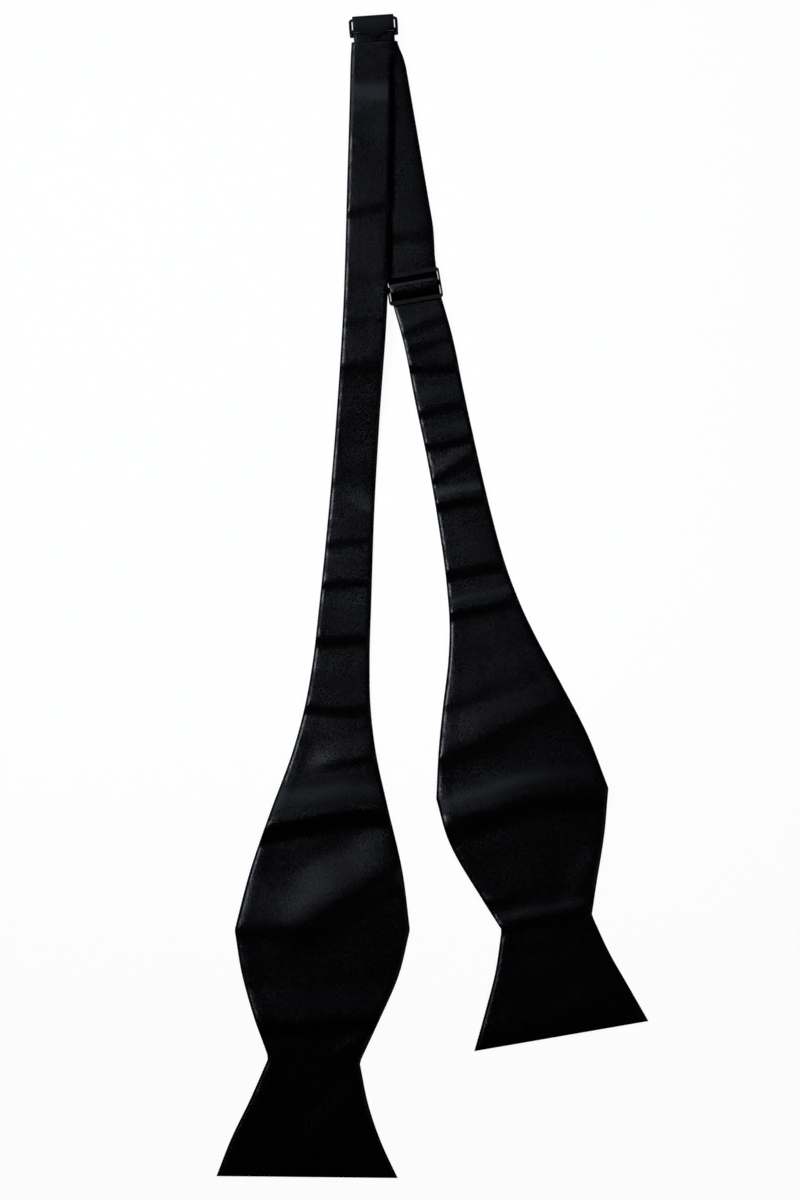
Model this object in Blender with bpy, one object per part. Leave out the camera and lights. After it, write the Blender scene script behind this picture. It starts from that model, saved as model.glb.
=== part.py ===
"""A self-tie bow tie with an adjustable neckband, unfastened and laid flat on a table.

The tie is two halves hooked together. The left half ends in a hook. The right half ends in
an eye, through which its band folds back to a three-bar slider that sets the neck size.
Both halves lie side by side, folded at the hook, with their blades pointing along -Y.

Lengths below are in millimetres and are turned into metres where a mesh is made.
The origin is under the middle of the tie's outline, on the table, with +Z up.
"""

import math
from dataclasses import dataclass

import bmesh
import bpy
from mathutils import Vector

MM = 0.001

# Layers of a half, measured up from its underside.
PANEL = 0.4
LAYER_GAP = 0.25
INTERLINING = 0.4
BACK_TOP = PANEL
INTERLINING_LOW = BACK_TOP + LAYER_GAP
INTERLINING_TOP = INTERLINING_LOW + INTERLINING
FRONT_LOW = INTERLINING_TOP + LAYER_GAP
HALF_THICKNESS = FRONT_LOW + PANEL
THREAD_LOW = BACK_TOP + 0.2
THREAD_TOP = FRONT_LOW - 0.2
THREAD_INSET = (0.7, 1.3)
INTERLINING_INSET = 2.2

# Bands.
LEFT_BAND_HALF = 8.5
RIGHT_BAND_HALF = 9.7
RUN_THICKNESS = 1.2
RETURN_LOW = 0.1
MAIN_LOW = RETURN_LOW + RUN_THICKNESS + 0.25
JOINT_GAP = 0.3

# The straight stretch of the right band, which the slider travels along.
SLIDER_AT = Vector((-5.4, 124.0))
BAND_LEAN = math.radians(9.65)
SLIDER_TO_EYE = 102.7
PANEL_END = 45.0

# Slider.
SLIDER_HALF_WIDTH = 10.9
SLIDER_SIDESTEP = -1.7
SLIDER_HALF_HEIGHT = 6.2
SLIDER_RAIL = 0.75
OUTER_BAR = 1.6
CENTRE_BAR_HALF = 1.0
SLIDER_LOW = 3.1
SLIDER_THICKNESS = 0.9
SLIDER_CORNER = 1.2
CROSSING_HALF = 9.9
CROSSING_THICKNESS = 0.75
CROSSING_RISE = 3.05
END_CLOTH = 0.35
CLOTH_GAP = 0.2
SLIDER_TACK_AT = (5.2, 1.13)
SLIDER_TACK_HALF = 7.0

# Hook and eye. Their shared axis is the eye's bar, held in the bend of the hook.
PIVOT = Vector((-23.5, 230.2, 6.0))
HARDWARE_LEAN = math.radians(4.0)
WIRE = 0.6
EYE_RAIL_AT = 9.2
EYE_REACH = 5.0
EYE_DROP = 4.5
EYE_CORNER = 1.0
SHEET = 0.7
BEND = WIRE + 0.25 + SHEET / 2
HOOK_NECK_HALF = 8.3
TONGUE_STARTS = -3.4
TONGUE_TIP = -7.7
TONGUE_TIP_HALF = 0.5
HOOK_FRAME_HALF = 9.7
HOOK_SLOT_HALF = 9.0
HOOK_BAR = (-6.7, -5.4)
HOOK_SLOT_NEAR = -4.7
HOOK_PLATE_NEAR = -3.6
HOOK_EDGE = 0.12
PLATE_DROP = 0.75
LOOP_CLOTH = 0.45
LOOP_STARTS = -15.6
LOOP_TACK_AT = -13.6
LOOP_TACK_HALF = 7.6
FOLD_CLOTH = 0.6
FOLD_HALF = 8.3
FOLD_REACH = 4.0

# How far the left band arches over the right one, so that the slider can pass beneath.
LEFT_LOOP_LOW = 3.15
ARCH_LOW = 5.85
ARCH_STARTS = 38.0
ARCH_FULL = (108.0, 186.0)
ARCH_ENDS = 212.0


@dataclass
class Station:
    """A place along a half: its middle, how far its cross line leans, and its half width."""

    x: float
    y: float
    lean: float
    half: float
    corner: bool = False


@dataclass
class Row:
    """One cross line of a half, with the height of the half's underside there."""

    middle: Vector
    lean: float
    half: float
    low: float


LEFT_STATIONS = [
    Station(-49.9, -232.6, -0.6, 36.3, corner=True),
    Station(-50.3, -217.6, -1.2, 29.9),
    Station(-49.2, -203.6, -2.0, 24.1),
    Station(-47.1, -185.8, -3.0, 18.3, corner=True),
    Station(-46.1, -169.6, -1.5, 24.9),
    Station(-44.6, -151.6, -0.5, 31.4),
    Station(-43.8, -133.6, 0.0, 35.1, corner=True),
    Station(-42.2, -109.6, 0.0, 30.4),
    Station(-40.8, -85.6, 0.0, 23.5),
    Station(-39.0, -61.6, 0.0, 16.5),
    Station(-37.6, -43.6, 0.5, 13.1),
    Station(-36.2, -25.6, 1.5, 11.4),
    Station(-34.5, -1.6, 3.0, 10.4),
    Station(-32.1, 34.4, 3.5, 9.2),
    Station(-29.7, 68.4, 3.5, 8.75),
    Station(-26.7, 112.4, 2.5, 8.8),
    Station(-25.1, 166.4, 1.5, 8.65),
    Station(-24.3, 198.4, 1.5, LEFT_BAND_HALF),
    Station(-23.8, 214.1, 4.0, 8.4),
]

RIGHT_STATIONS = [
    Station(51.9, -176.2, 9.8, 35.4, corner=True),
    Station(49.8, -158.6, 9.9, 28.0),
    Station(48.4, -147.6, 9.8, 23.5),
    Station(46.0, -130.6, 9.5, 18.3, corner=True),
    Station(43.1, -118.6, 7.6, 23.0),
    Station(38.0, -95.2, 4.4, 31.5),
    Station(36.2, -79.0, 3.7, 34.5, corner=True),
    Station(32.6, -58.6, 5.8, 30.0),
    Station(28.3, -39.6, 9.6, 24.1),
    Station(24.5, -21.6, 12.6, 18.3),
    Station(22.0, -10.0, 13.6, 15.3),
    Station(18.1, 7.4, 13.8, 12.5),
    Station(13.2, 31.0, 13.2, 10.8),
    Station(8.4, 54.8, 12.4, 10.05),
]


def along_band(distance, across=0.0):
    """The point on the right band's straight stretch this far towards the eye from the slider."""
    up = Vector((-math.sin(BAND_LEAN), math.cos(BAND_LEAN)))
    side = Vector((math.cos(BAND_LEAN), math.sin(BAND_LEAN)))
    return SLIDER_AT + up * distance + side * across


def smooth_step(low, high, value):
    """0 below low, 1 above high, and a smooth rise between."""
    share = min(max((value - low) / (high - low), 0.0), 1.0)
    return share * share * (3 - 2 * share)


def slopes(places, values, corners):
    """The slope of a smooth curve at each place, with one slope on each side of a corner."""
    found = []
    last = len(places) - 1
    for i in range(len(places)):
        before = (values[i] - values[i - 1]) / (places[i] - places[i - 1]) if i else None
        after = (values[i + 1] - values[i]) / (places[i + 1] - places[i]) if i < last else None
        if before is None or after is None or corners[i]:
            found.append((before, after))
            continue
        back = places[i] - places[i - 1]
        ahead = places[i + 1] - places[i]
        middle = (before * ahead + after * back) / (back + ahead)
        found.append((middle, middle))
    return found


def hermite(share, step, start, end, slope_start, slope_end):
    """A cubic from start to end over a step, with the given slopes at its ends."""
    squared, cubed = share**2, share**3
    return (
        (2 * cubed - 3 * squared + 1) * start
        + (cubed - 2 * squared + share) * step * slope_start
        + (3 * squared - 2 * cubed) * end
        + (cubed - squared) * step * slope_end
    )


def rows_through(stations, lift=None, spacing=6.0):
    """Rows along a smooth curve through the stations, about one spacing apart.

    lift gives the height of the underside at each y. Without it the half lies on the table.
    """
    places = [0.0]
    for a, b in zip(stations, stations[1:]):
        places.append(places[-1] + math.hypot(b.x - a.x, b.y - a.y))
    corners = [s.corner for s in stations]
    columns = [[getattr(s, name) for s in stations] for name in ("x", "y", "lean", "half")]
    tangents = [slopes(places, column, corners) for column in columns]
    rows = []
    for i in range(len(stations) - 1):
        step = places[i + 1] - places[i]
        count = max(2, round(step / spacing))
        last = i == len(stations) - 2
        for k in range(count + last):
            share = k / count
            x, y, lean, half = (
                hermite(share, step, c[i], c[i + 1], t[i][1], t[i + 1][0])
                for c, t in zip(columns, tangents)
            )
            low = lift(y) if lift else 0.0
            rows.append(Row(Vector((x, y)), math.radians(lean), half, low))
    return rows


def left_lift(y):
    """Height of the left half's underside: flat on the table, then arched over the right band."""
    arch = smooth_step(ARCH_STARTS, ARCH_FULL[0], y) * ARCH_LOW
    return arch - smooth_step(ARCH_FULL[1], ARCH_ENDS, y) * (ARCH_LOW - LEFT_LOOP_LOW)


def material(name, colour, roughness, metallic=0.0):
    """A plain finish for one kind of piece."""
    made = bpy.data.materials.new(name)
    made.use_nodes = True
    shader = made.node_tree.nodes["Principled BSDF"]
    shader.inputs["Base Color"].default_value = (*colour, 1.0)
    shader.inputs["Roughness"].default_value = roughness
    shader.inputs["Metallic"].default_value = metallic
    return made


def new_object(name, points, faces, finish, parent=None):
    """A closed mesh object from points in millimetres, with its faces turned outwards."""
    mesh = bpy.data.meshes.new(name)
    mesh.from_pydata([Vector(p) * MM for p in points], [], faces)
    shape = bmesh.new()
    shape.from_mesh(mesh)
    bmesh.ops.recalc_face_normals(shape, faces=shape.faces)
    shape.to_mesh(mesh)
    shape.free()
    mesh.materials.append(finish)
    made = bpy.data.objects.new(name, mesh)
    made.parent = parent
    bpy.context.scene.collection.objects.link(made)
    return made


def swept_faces(count, sides=4, closed=False):
    """Faces of a tube of rings, each ring a loop of points in order, with a cap at each end."""
    faces = []
    for i in range(count - (not closed)):
        here, there = i * sides, (i + 1) % count * sides
        for k in range(sides):
            after = (k + 1) % sides
            faces.append((here + k, here + after, there + after, there + k))
    if not closed:
        faces.append(tuple(reversed(range(sides))))
        faces.append(tuple((count - 1) * sides + k for k in range(sides)))
    return faces


def slab(name, rows, low, high, finish, inset=0.0):
    """A flat layer of a half, from low to high above the half's underside."""
    points = []
    for row in rows:
        side = Vector((math.cos(row.lean), math.sin(row.lean))) * (row.half - inset)
        left, right = row.middle - side, row.middle + side
        points.append((*right, row.low + low))
        points.append((*right, row.low + high))
        points.append((*left, row.low + high))
        points.append((*left, row.low + low))
    return new_object(name, points, swept_faces(len(rows)), finish)


def shortened(rows, at_tip, at_band):
    """The rows with both ends pulled in along the half."""
    start, end = rows[0], rows[-1]
    towards_band = (rows[1].middle - start.middle).normalized() * at_tip
    towards_tip = (rows[-2].middle - end.middle).normalized() * at_band
    first = Row(start.middle + towards_band, start.lean, start.half, start.low)
    final = Row(end.middle + towards_tip, end.lean, end.half, end.low)
    return [first, *rows[1:-1], final]


def seam_thread(name, rows, finish):
    """One line of stitching inside the edges, up one side, across the tip and down the other."""
    outer_in, inner_in = THREAD_INSET
    ends = shortened(rows, outer_in, 0.0)

    def side_points(sign, inset):
        found = []
        for row in ends:
            side = Vector((math.cos(row.lean), math.sin(row.lean))) * sign * (row.half - inset)
            found.append((row.middle + side, row.low))
        return found

    outer = [*reversed(side_points(-1, outer_in)), *side_points(1, outer_in)]
    inner = [*reversed(side_points(-1, inner_in)), *side_points(1, inner_in)]
    across_tip = (ends[1].middle - ends[0].middle).normalized() * (inner_in - outer_in)
    points = []
    tip = len(ends)
    for i, ((far, low), (near, _)) in enumerate(zip(outer, inner)):
        if i in (tip - 1, tip):
            near = near + across_tip
        points.append((*far, low + THREAD_LOW))
        points.append((*far, low + THREAD_TOP))
        points.append((*near, low + THREAD_TOP))
        points.append((*near, low + THREAD_LOW))
    return new_object(name, points, swept_faces(len(outer)), finish)


def ribbon(name, path, thickness, half_width, finish, parent):
    """A strip swept along a path of (along, up) points, in its parent's frame.

    thickness and half_width are single values or one for each point of the path.
    """
    count = len(path)
    thick = thickness if isinstance(thickness, list) else [thickness] * count
    half = half_width if isinstance(half_width, list) else [half_width] * count
    places = [Vector(p) for p in path]
    points = []
    for i, place in enumerate(places):
        back = (place - places[i - 1]).normalized() if i else None
        ahead = (places[i + 1] - place).normalized() if i < count - 1 else None
        if back is None:
            normal = Vector((-ahead.y, ahead.x))
        elif ahead is None:
            normal = Vector((-back.y, back.x))
        else:
            middle = (back + ahead).normalized()
            normal = Vector((-middle.y, middle.x)) / max(middle.dot(ahead), 0.5)
        top = place + normal * thick[i] / 2
        bottom = place - normal * thick[i] / 2
        points.append((half[i], *bottom))
        points.append((half[i], *top))
        points.append((-half[i], *top))
        points.append((-half[i], *bottom))
    return new_object(name, points, swept_faces(count), finish, parent)


def arc(centre, radius, start, end, count):
    """Points on an arc, with angles in degrees from the first axis."""
    found = []
    for k in range(count + 1):
        angle = math.radians(start + (end - start) * k / count)
        found.append((centre[0] + radius * math.cos(angle), centre[1] + radius * math.sin(angle)))
    return found


def frame_empty(name, place, lean):
    """An empty that carries a group of pieces: x across the band, y along it, z up."""
    made = bpy.data.objects.new(name, None)
    made.location = Vector(place) * MM
    made.rotation_euler = (0.0, 0.0, lean)
    bpy.context.scene.collection.objects.link(made)
    return made


def box_points(low, high):
    """The eight corners of a box."""
    return [(x, y, z) for z in (low[2], high[2]) for y in (low[1], high[1]) for x in (low[0], high[0])]


BOX_FACES = [(0, 2, 3, 1), (4, 5, 7, 6), (0, 1, 5, 4), (2, 6, 7, 3), (0, 4, 6, 2), (1, 3, 7, 5)]


def box(name, low, high, finish, parent):
    """A plain box, given by two opposite corners."""
    return new_object(name, box_points(low, high), BOX_FACES, finish, parent)


def cutter(made):
    """Mark an object as a tool that only shapes others."""
    made.hide_render = True
    made.display_type = "WIRE"
    return made


def cut_or_join(target, tool, operation):
    """Cut the tool from the target, or join it on."""
    step = target.modifiers.new(operation.lower(), "BOOLEAN")
    step.object = cutter(tool)
    step.operation = operation
    step.solver = "EXACT"


def soften(target, width, segments=2):
    """Round every sharp edge of a metal piece."""
    step = target.modifiers.new("soft_edges", "BEVEL")
    step.width = width * MM
    step.segments = segments
    step.limit_method = "ANGLE"
    step.angle_limit = math.radians(35)


def make_left_half(satin, lining, thread):
    """The left half's layers, from the tip to where its band turns round the hook's bar.

    Each satin layer is in two lengths, the blade and the arched band, so that what collides
    stays open under the arch.
    """
    rows = rows_through(LEFT_STATIONS, left_lift)
    split = next(i for i, row in enumerate(rows) if row.middle.y > ARCH_STARTS)
    blade = shortened(rows[: split + 1], 0.0, JOINT_GAP)
    band = rows[split:]
    slab("left_back_panel", blade, 0.0, BACK_TOP, satin)
    slab("left_back_band", band, 0.0, BACK_TOP, satin)
    slab("left_front_panel", blade, FRONT_LOW, HALF_THICKNESS, satin)
    slab("left_front_band", band, FRONT_LOW, HALF_THICKNESS, satin)
    inner = shortened(rows, INTERLINING_INSET, 1.0)
    slab("left_interlining", inner, INTERLINING_LOW, INTERLINING_TOP, lining, INTERLINING_INSET)
    seam_thread("left_seam_thread", rows, thread)


def make_right_half(satin, lining, thread):
    """The right half's layers, from the tip to where its adjustable band starts."""
    end = along_band(-PANEL_END)
    last = Station(end.x, end.y, math.degrees(BAND_LEAN) + 1.0, RIGHT_BAND_HALF + 0.1)
    rows = rows_through([*RIGHT_STATIONS, last])
    slab("right_back_panel", rows, 0.0, BACK_TOP, satin)
    slab("right_front_panel", rows, FRONT_LOW, HALF_THICKNESS, satin)
    inner = shortened(rows, INTERLINING_INSET, 1.0)
    slab("right_interlining", inner, INTERLINING_LOW, INTERLINING_TOP, lining, INTERLINING_INSET)
    seam_thread("right_seam_thread", rows, thread)
    return rows[-1]


def make_right_runs(panel_end_row, satin):
    """The doubled band between the blade, the slider and the eye."""
    under_slider = SLIDER_HALF_HEIGHT + 1.0
    lower_rows = []
    start, stop = -PANEL_END + JOINT_GAP, -under_slider - JOINT_GAP
    count = 8
    for k in range(count + 1):
        share = k / count
        place = start + (stop - start) * share
        lean = panel_end_row.lean + (BAND_LEAN - panel_end_row.lean) * share
        half = RIGHT_BAND_HALF + (CROSSING_HALF - RIGHT_BAND_HALF) * smooth_step(0.8, 1.0, share)
        low = smooth_step(start + 4.0, stop, place) * MAIN_LOW
        middle = along_band(place, SLIDER_SIDESTEP * smooth_step(0.5, 1.0, share))
        lower_rows.append(Row(middle, lean, half, low))
    slab("right_band_lower_run", lower_rows, 0.0, RUN_THICKNESS, satin)

    fold_start = SLIDER_TO_EYE - 9.0
    first, final = under_slider + JOINT_GAP, fold_start - JOINT_GAP
    count = 14
    upper_rows, return_rows = [], []
    for k in range(count + 1):
        share = k / count
        place = first + (final - first) * share
        lean = BAND_LEAN + (HARDWARE_LEAN - BAND_LEAN) * smooth_step(0.85, 1.0, share)
        half = RIGHT_BAND_HALF
        half -= (RIGHT_BAND_HALF - CROSSING_HALF) * (1 - smooth_step(0.0, 0.07, share))
        half -= (RIGHT_BAND_HALF - FOLD_HALF) * smooth_step(0.86, 1.0, share)
        middle = along_band(place, SLIDER_SIDESTEP * (1 - smooth_step(0.0, 0.25, share)))
        upper_rows.append(Row(middle, lean, half, MAIN_LOW))
        return_rows.append(Row(middle, lean, half - 0.2, RETURN_LOW))
    slab("right_band_upper_run", upper_rows, 0.0, RUN_THICKNESS, satin)
    slab("right_band_return_run", return_rows, 0.0, RUN_THICKNESS, satin)


def make_slider(metal, satin, thread):
    """The three-bar slider, the band that crosses it, and the band's end round its centre bar."""
    place = along_band(0.0, SLIDER_SIDESTEP)
    frame = frame_empty("slider_frame", (*place, 0.0), BAND_LEAN)
    top = SLIDER_LOW + SLIDER_THICKNESS
    corner = (SLIDER_HALF_WIDTH, SLIDER_HALF_HEIGHT)
    slider = box("slider", (-corner[0], -corner[1], SLIDER_LOW), (*corner, top), metal, frame)
    rounding = slider.modifiers.new("round_corners", "BEVEL")
    rounding.width = SLIDER_CORNER * MM
    rounding.segments = 3
    rounding.limit_method = "WEIGHT"
    weights = slider.data.attributes.new("bevel_weight_edge", "FLOAT", "EDGE")
    for edge in slider.data.edges:
        a, b = (slider.data.vertices[v].co for v in edge.vertices)
        weights.data[edge.index].value = float(abs(a.z - b.z) > 1e-6)
    slot_half = SLIDER_HALF_WIDTH - SLIDER_RAIL
    for sign in (-1, 1):
        near, far = sign * CENTRE_BAR_HALF, sign * (SLIDER_HALF_HEIGHT - OUTER_BAR)
        low = (-slot_half, min(near, far), SLIDER_LOW - 1.0)
        high = (slot_half, max(near, far), top + 1.0)
        side = "upper" if sign > 0 else "lower"
        cut_or_join(slider, box(f"{side}_slot_cutter", low, high, metal, frame), "DIFFERENCE")
    soften(slider, 0.2)

    level = MAIN_LOW + 0.6
    half_path = [(-7.2, level), (-4.9, level), (-3.75, level + 0.5), (-2.85, level + 1.7)]
    half_path += [(-2.35, level + 2.65), (-1.55, level + 3.0)]
    path = [*half_path, (0.0, level + CROSSING_RISE), *((-u, z) for u, z in reversed(half_path))]
    ribbon("right_band_crossing", path, CROSSING_THICKNESS, CROSSING_HALF, satin, frame)

    middle = SLIDER_LOW + SLIDER_THICKNESS / 2
    rise = SLIDER_THICKNESS / 2 + CLOTH_GAP + END_CLOTH / 2
    bend_at = CENTRE_BAR_HALF - SLIDER_THICKNESS / 2
    over = [(bend_at + 0.3, middle + rise)]
    around = arc((-bend_at, middle), rise, 90, 270, 6)
    tail = [(bend_at + 0.2, middle - rise), (1.9, 1.8), (3.2, 0.95), (5.0, 0.7), (7.2, 0.7)]
    end_half = CROSSING_HALF - CLOTH_GAP
    ribbon("slider_end_loop", [*over, *around, *tail], END_CLOTH, end_half, satin, frame)

    stitch_row("slider_bar_tack", SLIDER_TACK_AT, SLIDER_TACK_HALF, 0.13, thread, frame)


def stitch_row(name, place, half_width, radius, thread, parent):
    """A zigzag of thread across a band, at a place given as (along, up)."""
    curve = bpy.data.curves.new(name, "CURVE")
    curve.dimensions = "3D"
    curve.bevel_depth = radius * MM
    curve.bevel_resolution = 1
    curve.use_fill_caps = True
    curve.materials.append(thread)
    stitches = 14
    line = curve.splines.new("POLY")
    line.points.add(stitches)
    for k in range(stitches + 1):
        across = -half_width + 2 * half_width * k / stitches
        along = place[0] + (0.5 if k % 2 else -0.5)
        line.points[k].co = (across * MM, along * MM, place[1] * MM, 1.0)
    made = bpy.data.objects.new(name, curve)
    made.parent = parent
    bpy.context.scene.collection.objects.link(made)


def make_eye(metal, satin, frame):
    """The wire eye, and the right band's fold through it."""
    curve = bpy.data.curves.new("eye", "CURVE")
    curve.dimensions = "3D"
    curve.bevel_depth = WIRE * MM
    curve.bevel_resolution = 3
    curve.materials.append(metal)
    length = math.hypot(EYE_REACH, EYE_DROP)
    tilt = math.atan2(EYE_DROP, EYE_REACH)
    corner = EYE_CORNER
    flat = []
    for turn, (x, v) in enumerate(
        (
            (EYE_RAIL_AT - corner, -corner),
            (-EYE_RAIL_AT + corner, -corner),
            (-EYE_RAIL_AT + corner, -length + corner),
            (EYE_RAIL_AT - corner, -length + corner),
        )
    ):
        flat += arc((x, v), corner, 90 * turn, 90 * turn + 90, 4)
    ring = curve.splines.new("POLY")
    ring.use_cyclic_u = True
    ring.points.add(len(flat) - 1)
    for point, (x, v) in zip(ring.points, flat):
        point.co = (x * MM, v * math.cos(tilt) * MM, v * math.sin(tilt) * MM, 1.0)
    made = bpy.data.objects.new("eye", curve)
    made.parent = frame
    bpy.context.scene.collection.objects.link(made)

    centre = (-EYE_REACH, -EYE_DROP)
    radius = WIRE + CLOTH_GAP + FOLD_CLOTH / 2
    path = [(centre[0] - FOLD_REACH, centre[1] + radius)]
    path += arc(centre, radius, 90, -90, 8)
    path += [(centre[0] - FOLD_REACH, centre[1] - radius)]
    ribbon("right_band_fold", path, FOLD_CLOTH, FOLD_HALF, satin, frame)


def make_hook(metal, satin, thread, frame):
    """The hook, and the left band's end turned round its bar."""
    low, high = -BEND, BEND
    plate = low - PLATE_DROP
    strip = [(-4.2, plate), (-3.3, plate), (-1.9, low), (-0.6, low)]
    strip += arc((0.0, 0.0), BEND, -90, 90, 10)
    strip += [(-1.8, high), (TONGUE_STARTS, high - 0.15), (-5.0, high - 0.45)]
    strip += [(-6.6, high - 0.85), (TONGUE_TIP, high - 1.1)]
    wide = [HOOK_NECK_HALF] * (len(strip) - 4)
    for along, _ in strip[-4:]:
        share = (along - TONGUE_TIP) / (TONGUE_STARTS - TONGUE_TIP)
        wide.append(TONGUE_TIP_HALF + (HOOK_NECK_HALF - TONGUE_TIP_HALF) * share)
    hook = ribbon("hook", strip, SHEET, wide, metal, frame)
    bar_far, bar_near = HOOK_BAR
    half = SHEET / 2
    plate_box = box(
        "hook_frame_shape",
        (-HOOK_FRAME_HALF, bar_far, plate - half),
        (HOOK_FRAME_HALF, HOOK_PLATE_NEAR, plate + half),
        metal,
        frame,
    )
    cut_or_join(hook, plate_box, "UNION")
    slot = box(
        "hook_slot_cutter",
        (-HOOK_SLOT_HALF, bar_near, plate - 1.0),
        (HOOK_SLOT_HALF, HOOK_SLOT_NEAR, plate + 0.9),
        metal,
        frame,
    )
    cut_or_join(hook, slot, "DIFFERENCE")
    soften(hook, HOOK_EDGE, 1)

    reach = SHEET / 2 + CLOTH_GAP + LOOP_CLOTH / 2
    bend_at = bar_near - SHEET / 2
    path = [(LOOP_STARTS, plate + reach)]
    path += arc((bend_at, plate), reach, 90, -90, 8)
    path += [(LOOP_STARTS, plate - reach)]
    ribbon("left_band_loop", path, LOOP_CLOTH, LEFT_BAND_HALF - 0.1, satin, frame)
    tack_at = (LOOP_TACK_AT, plate + reach + LOOP_CLOTH / 2 + 0.3)
    stitch_row("left_bar_tack", tack_at, LOOP_TACK_HALF, 0.15, thread, frame)


def main():
    """Build the tie."""
    for old in list(bpy.data.objects):
        bpy.data.objects.remove(old, do_unlink=True)
    satin = material("black_satin", (0.012, 0.013, 0.016), 0.42)
    lining = material("charcoal_interlining", (0.05, 0.05, 0.055), 0.9)
    thread = material("black_thread", (0.01, 0.01, 0.012), 0.7)
    metal = material("black_enamelled_metal", (0.01, 0.01, 0.011), 0.25, 0.4)
    make_left_half(satin, lining, thread)
    make_right_runs(make_right_half(satin, lining, thread), satin)
    make_slider(metal, satin, thread)
    hardware = frame_empty("hook_and_eye_axis", PIVOT, HARDWARE_LEAN)
    make_eye(metal, satin, hardware)
    make_hook(metal, satin, thread, hardware)


main()
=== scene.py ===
"""A black satin self-tie bow tie, unfastened and laid flat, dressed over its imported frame.

The tie is cut and sewn as a tie maker would do it. Each half is a front and a back of satin
turned over an interlining, with a line of stitches inside the edges. The left half ends in a
hook. The right half ends in a strap that runs over a three-bar slider, through a wire eye
and back to the slider, which sets the neck size.

Lengths in the classes are in millimetres and become metres where a mesh is made. +Y runs
from the blade tips to the hook, +X from the left half to the right half, and +Z is up.
"""

import logging
import math
from collections.abc import Callable, Sequence
from dataclasses import dataclass, field
from enum import Enum

import bmesh
import bpy
import numpy as np
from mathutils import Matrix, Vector

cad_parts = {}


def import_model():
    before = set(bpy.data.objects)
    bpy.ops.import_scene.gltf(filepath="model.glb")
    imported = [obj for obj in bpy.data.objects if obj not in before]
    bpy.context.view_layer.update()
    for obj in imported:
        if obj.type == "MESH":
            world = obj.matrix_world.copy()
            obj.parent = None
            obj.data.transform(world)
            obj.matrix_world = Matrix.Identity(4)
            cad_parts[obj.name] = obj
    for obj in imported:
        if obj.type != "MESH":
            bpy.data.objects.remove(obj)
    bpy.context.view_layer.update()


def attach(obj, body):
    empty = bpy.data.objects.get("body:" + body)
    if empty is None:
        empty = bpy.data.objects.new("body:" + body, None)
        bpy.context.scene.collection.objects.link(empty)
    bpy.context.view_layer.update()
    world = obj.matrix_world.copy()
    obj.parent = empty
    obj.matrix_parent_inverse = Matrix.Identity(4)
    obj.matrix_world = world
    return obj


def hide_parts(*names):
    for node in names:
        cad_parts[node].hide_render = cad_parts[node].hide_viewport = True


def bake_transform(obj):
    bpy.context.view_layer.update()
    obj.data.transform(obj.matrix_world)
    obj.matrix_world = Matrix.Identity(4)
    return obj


LOG = logging.getLogger("bow_tie")
MM = 0.001
MM_PER_CM = 10.0

Pair = tuple[float, float]
Triple = tuple[float, float, float]
Group = tuple[Sequence[float], float]
Piece = bpy.types.Object
Material = bpy.types.Material
Socket = bpy.types.NodeSocket


# --- mesh helpers


def linked(name: str, data: bpy.types.ID) -> Piece:
    """Put a mesh, a lamp or a camera into the scene.

    Args:
        name: The object's name.
        data: What it shows.

    Returns:
        The new object.
    """
    made = bpy.data.objects.new(name, data)
    bpy.context.scene.collection.objects.link(made)
    return made


def add_piece(
    name: str,
    points: np.ndarray,
    faces: Sequence[Sequence[int]],
    finish: Material,
    flat: np.ndarray | None = None,
) -> Piece:
    """Make a smooth-shaded mesh piece with its faces turned outwards.

    Args:
        name: The piece's name.
        points: Points in millimetres, one row each.
        faces: Corner numbers of each face.
        finish: The material it wears.
        flat: Where each point lies on the flat cloth, in centimetres, for the weave.

    Returns:
        The new object, linked to the scene.
    """
    mesh = bpy.data.meshes.new(name)
    mesh.from_pydata((np.asarray(points, float) * MM).tolist(), [], [list(f) for f in faces])
    work = bmesh.new()
    work.from_mesh(mesh)
    bmesh.ops.recalc_face_normals(work, faces=work.faces)
    if flat is not None:
        layer = work.loops.layers.uv.new("cloth")
        for face in work.faces:
            for corner in face.loops:
                corner[layer].uv = flat[corner.vert.index]
    work.to_mesh(mesh)
    work.free()
    mesh.shade_smooth()
    mesh.materials.append(finish)
    return linked(name, mesh)


def shell(outer: np.ndarray, inner: np.ndarray) -> tuple[np.ndarray, np.ndarray]:
    """Close two grids of points into one thin cloth.

    Args:
        outer: The outer face's points, as rows by columns by three.
        inner: The inner face's points, in the same layout.

    Returns:
        The points and the faces of the closed cloth.
    """
    count, across, _ = outer.shape
    total = count * across
    index = np.arange(total).reshape(count, across)
    top = np.stack([index[:-1, :-1], index[:-1, 1:], index[1:, 1:], index[1:, :-1]], -1)
    top = top.reshape(-1, 4)
    edge = np.concatenate([index[0], index[1:, -1], index[-1, -2::-1], index[-2:0:-1, 0]])
    after = np.roll(edge, -1)
    rim = np.stack([edge, edge + total, after + total, after], -1)
    points = np.concatenate([outer.reshape(-1, 3), inner.reshape(-1, 3)])
    return points, np.concatenate([top, top[:, ::-1] + total, rim])


def tube_faces(count: int, sides: int, closed: bool) -> list[list[int]]:
    """Faces of a tube made of rings of points.

    Args:
        count: How many rings there are.
        sides: How many points each ring has.
        closed: Whether the last ring joins the first.

    Returns:
        The faces, with a cap on each end of an open tube.
    """
    faces = []
    for ring in range(count if closed else count - 1):
        here, there = ring * sides, (ring + 1) % count * sides
        for k in range(sides):
            after = (k + 1) % sides
            faces.append([here + k, here + after, there + after, there + k])
    if not closed:
        faces.append(list(range(sides))[::-1])
        faces.append([(count - 1) * sides + k for k in range(sides)])
    return faces


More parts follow.
